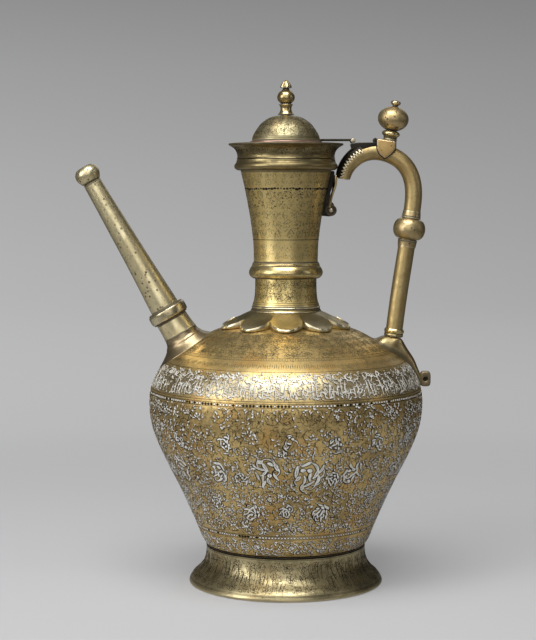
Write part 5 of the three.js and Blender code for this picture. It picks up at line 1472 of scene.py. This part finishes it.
def spoutFlare():
    # a trumpet from the sleeve's waist to where lines along the spout's axis meet the body
    a, end = around(spout["columns"]), spout["sleeveEnd"]
    outboard, inboard = ((1 - np.cos(a)) / 2)**3, ((1 + np.cos(a)) / 2)**3
    waist = 13.1 + 0.55 * np.cos(a)
    far = 17.9 + 8.9 * outboard + 3.1 * inboard

    def onSpout(r, along):
        # points at a radius and a length along the spout's axis
        return placed(np.stack([r * np.cos(a), r * np.sin(a), along + 0 * r], -1), spoutPlace)

    # halving steps find where each line meets the body
    low, high = np.full(len(a), -60.0), np.full(len(a), -18.0)
    for _ in range(40):
        middle = (low + high) / 2
        p = onSpout(far, middle)
        bodyRadius = np.interp(p[:, 2], bodyLine[:, 1], bodyLine[:, 0])
        outside = (np.hypot(p[:, 0], p[:, 1]) > bodyRadius) | (p[:, 2] > 195)
        high, low = np.where(outside, middle, high), np.where(outside, low, middle)
    landing, top, drop = onSpout(far, high), onSpout(waist, end), end - high
    down = onSpout(waist + 0.1, end - 0.5 * drop)
    lean = onSpout(far * 0.6 + waist * 0.42, high + 0.24 * drop)
    t = np.linspace(0, 1, spout["rows"])[:, None, None]
    outer = (1 - t)**3 * top + 3 * (1 - t)**2 * t * down + 3 * (1 - t) * t**2 * lean + t**3 * landing
    bore = onSpout(np.full(len(a), spout["bore"]), end)
    inner = outer + (bore - top) * (1 - t) + np.array([0, 0, -spout["wall"]]) * t
    fold = np.exp(-((t - 0.3) / 0.05)**2)
    outer = outer + (onSpout(waist + 0.35, end) - top) * fold
    edge = (0.5 * np.exp(-(t / 0.04)**2) + 0.4 * fold)[:, :, 0] + 0 * a[None, :]
    return outer[::-1], inner[::-1], edge[::-1]


outer, inner, edge = spoutFlare()
shellPiece("spout_base_flare", "spout_base", outer, inner, "flareBrass", "plain_brass", ring=True, edge=edge)
print("spout made")

# stage, lights and camera, in metres
stage = {
    "floorRadius": 1.1, "floorTone": (0.56, 0.56, 0.565), "floorLevel": -0.0002, "world": 0.12,
    "mirrored": 0.2,
    "greys": [
        (0.0, 0.55), (0.04, 0.51), (0.08, 0.475), (0.14, 0.478), (0.26, 0.455), (0.42, 0.415), (0.53, 0.376),
        (0.66, 0.312), (0.76, 0.243), (1.0, 0.19)],
}


def stageSheet(name, line, sides=96):
    # a big turned sheet round the ewer with the backdrop's finish
    line, a = np.asarray(line, float), around(sides)
    grid = np.stack([line[:, 0:1] * np.cos(a), line[:, 0:1] * np.sin(a), line[:, 1:2] + 0 * a], -1)
    quads = gridQuads(len(line), sides)[:, [0, 3, 2, 1]]
    mesh = bpy.data.meshes.new(name)
    mesh.from_pydata(grid.reshape(-1, 3).tolist(), [], quads.tolist())
    mesh.shade_smooth()
    mesh.materials.append(stageFinish(name))
    sheet = bpy.data.objects.new(name, mesh)
    bpy.context.scene.collection.objects.link(sheet)
    return sheet


def stageFinish(name):
    # a glowing grey with painted falloff: it darkens with distance over the floor, up the wall and to the
    # right; the metal sees it much dimmer; the floor near the ewer is mostly a plain matt grey, which takes its
    # shadow, and the rest of it glows, which lightens that shadow
    f = Finish(name)
    apart = f.add("ShaderNodeSeparateXYZ", {}, {0: f.place()})
    x, y, z = (Wire(f, apart.socket.node.outputs[k]) for k in (0, 1, 2))
    far = (x * x + y * y)**0.5
    glow = f.ramp(far * 0.11 + z * 0.27, [(at, (grey, grey, grey * 1.012)) for at, grey in stage["greys"]])
    direct = f.add("ShaderNodeLightPath", out="Is Camera Ray")
    strength = (1 - x * 0.105) * (stage["mirrored"] + (1 - stage["mirrored"]) * direct)
    shine = f.add("ShaderNodeEmission", {}, {"Color": glow, "Strength": strength})
    if name == "studio_floor":
        plain = f.add("ShaderNodeBsdfDiffuse", {}, {"Color": stage["floorTone"]})
        # near the ewer 38% of the floor still glows: painted light that lightens its shadow
        shine = f.add("ShaderNodeMixShader", {}, {0: 0.38 + f.step(far, 0.3, 0.9) * 0.62, 1: plain, 2: shine})
    f.tree.links.new(shine.socket, f.output.inputs["Surface"])
    return f.material


floorLevel = stage["floorLevel"]
stageSheet("studio_floor", [(r, floorLevel) for r in (0.0001, 0.3, 0.6, stage["floorRadius"])])
turnUp = [(3.0 + 1.5 * math.sin(a), 1.5 * (1 - math.cos(a)) + floorLevel)
          for a in np.linspace(0, math.pi / 2, 24)]
bowl = stageSheet("studio_backdrop", [(stage["floorRadius"], floorLevel)] + turnUp + [(4.5, 5.0)])
bowl.visible_diffuse = False
bowl.visible_shadow = False

world = bpy.data.worlds.new("studioWorld")
bpy.context.scene.world = world
world.use_nodes = True
world.node_tree.nodes["Background"].inputs["Color"].default_value = (0.95, 0.97, 1.0, 1)
world.node_tree.nodes["Background"].inputs["Strength"].default_value = stage["world"]

# each lamp's place, the point it aims at, its width and height, and its power
lamps = {
    "top_softbox": ((-0.10, -0.55, 1.45), (0.0, 0.0, 0.15), (1.1, 0.9), 20),
    "left_softbox": ((-1.5, -0.9, 0.75), (0.0, 0.0, 0.18), (0.8, 1.3), 12),
    "key_softbox": ((-0.86, -1.17, 0.86), (0.0, 0.0, 0.2), (0.6, 0.9), 2.5),
    "front_fill": ((0.1, -2.2, 0.8), (0.0, 0.0, 0.2), (1.8, 1.3), 8.5),
    "right_fill": ((1.7, -0.5, 0.8), (0.0, 0.0, 0.2), (0.35, 1.0), 1.2),
    "back_fill": ((0.3, 1.6, 1.1), (0.0, 0.0, 0.2), (1.2, 0.8), 2),
}
for name, (place, aim, size, power) in lamps.items():
    data = bpy.data.lights.new(name, "AREA")
    data.shape, data.size, data.size_y, data.energy = "RECTANGLE", *size, power
    lamp = bpy.data.objects.new(name, data)
    bpy.context.scene.collection.objects.link(lamp)
    lamp.location = place
    lamp.rotation_euler = (Vector(place) - Vector(aim)).to_track_quat("Z", "Y").to_euler()

camera = {"place": (0.01077, -1.2543, 0.2939), "pitch": 4.3, "lens": 93.375, "sensor": 36}
cameraData = bpy.data.cameras.new("photo_camera")
cameraData.lens = camera["lens"]
cameraData.sensor_width = camera["sensor"]
cameraObject = bpy.data.objects.new("photo_camera", cameraData)
cameraObject.location = camera["place"]
cameraObject.rotation_euler = (math.radians(90 - camera["pitch"]), 0, 0)
bpy.context.scene.collection.objects.link(cameraObject)
bpy.context.scene.camera = cameraObject
bpy.context.scene.view_settings.view_transform = "Standard"
print("stage, lights and camera set")
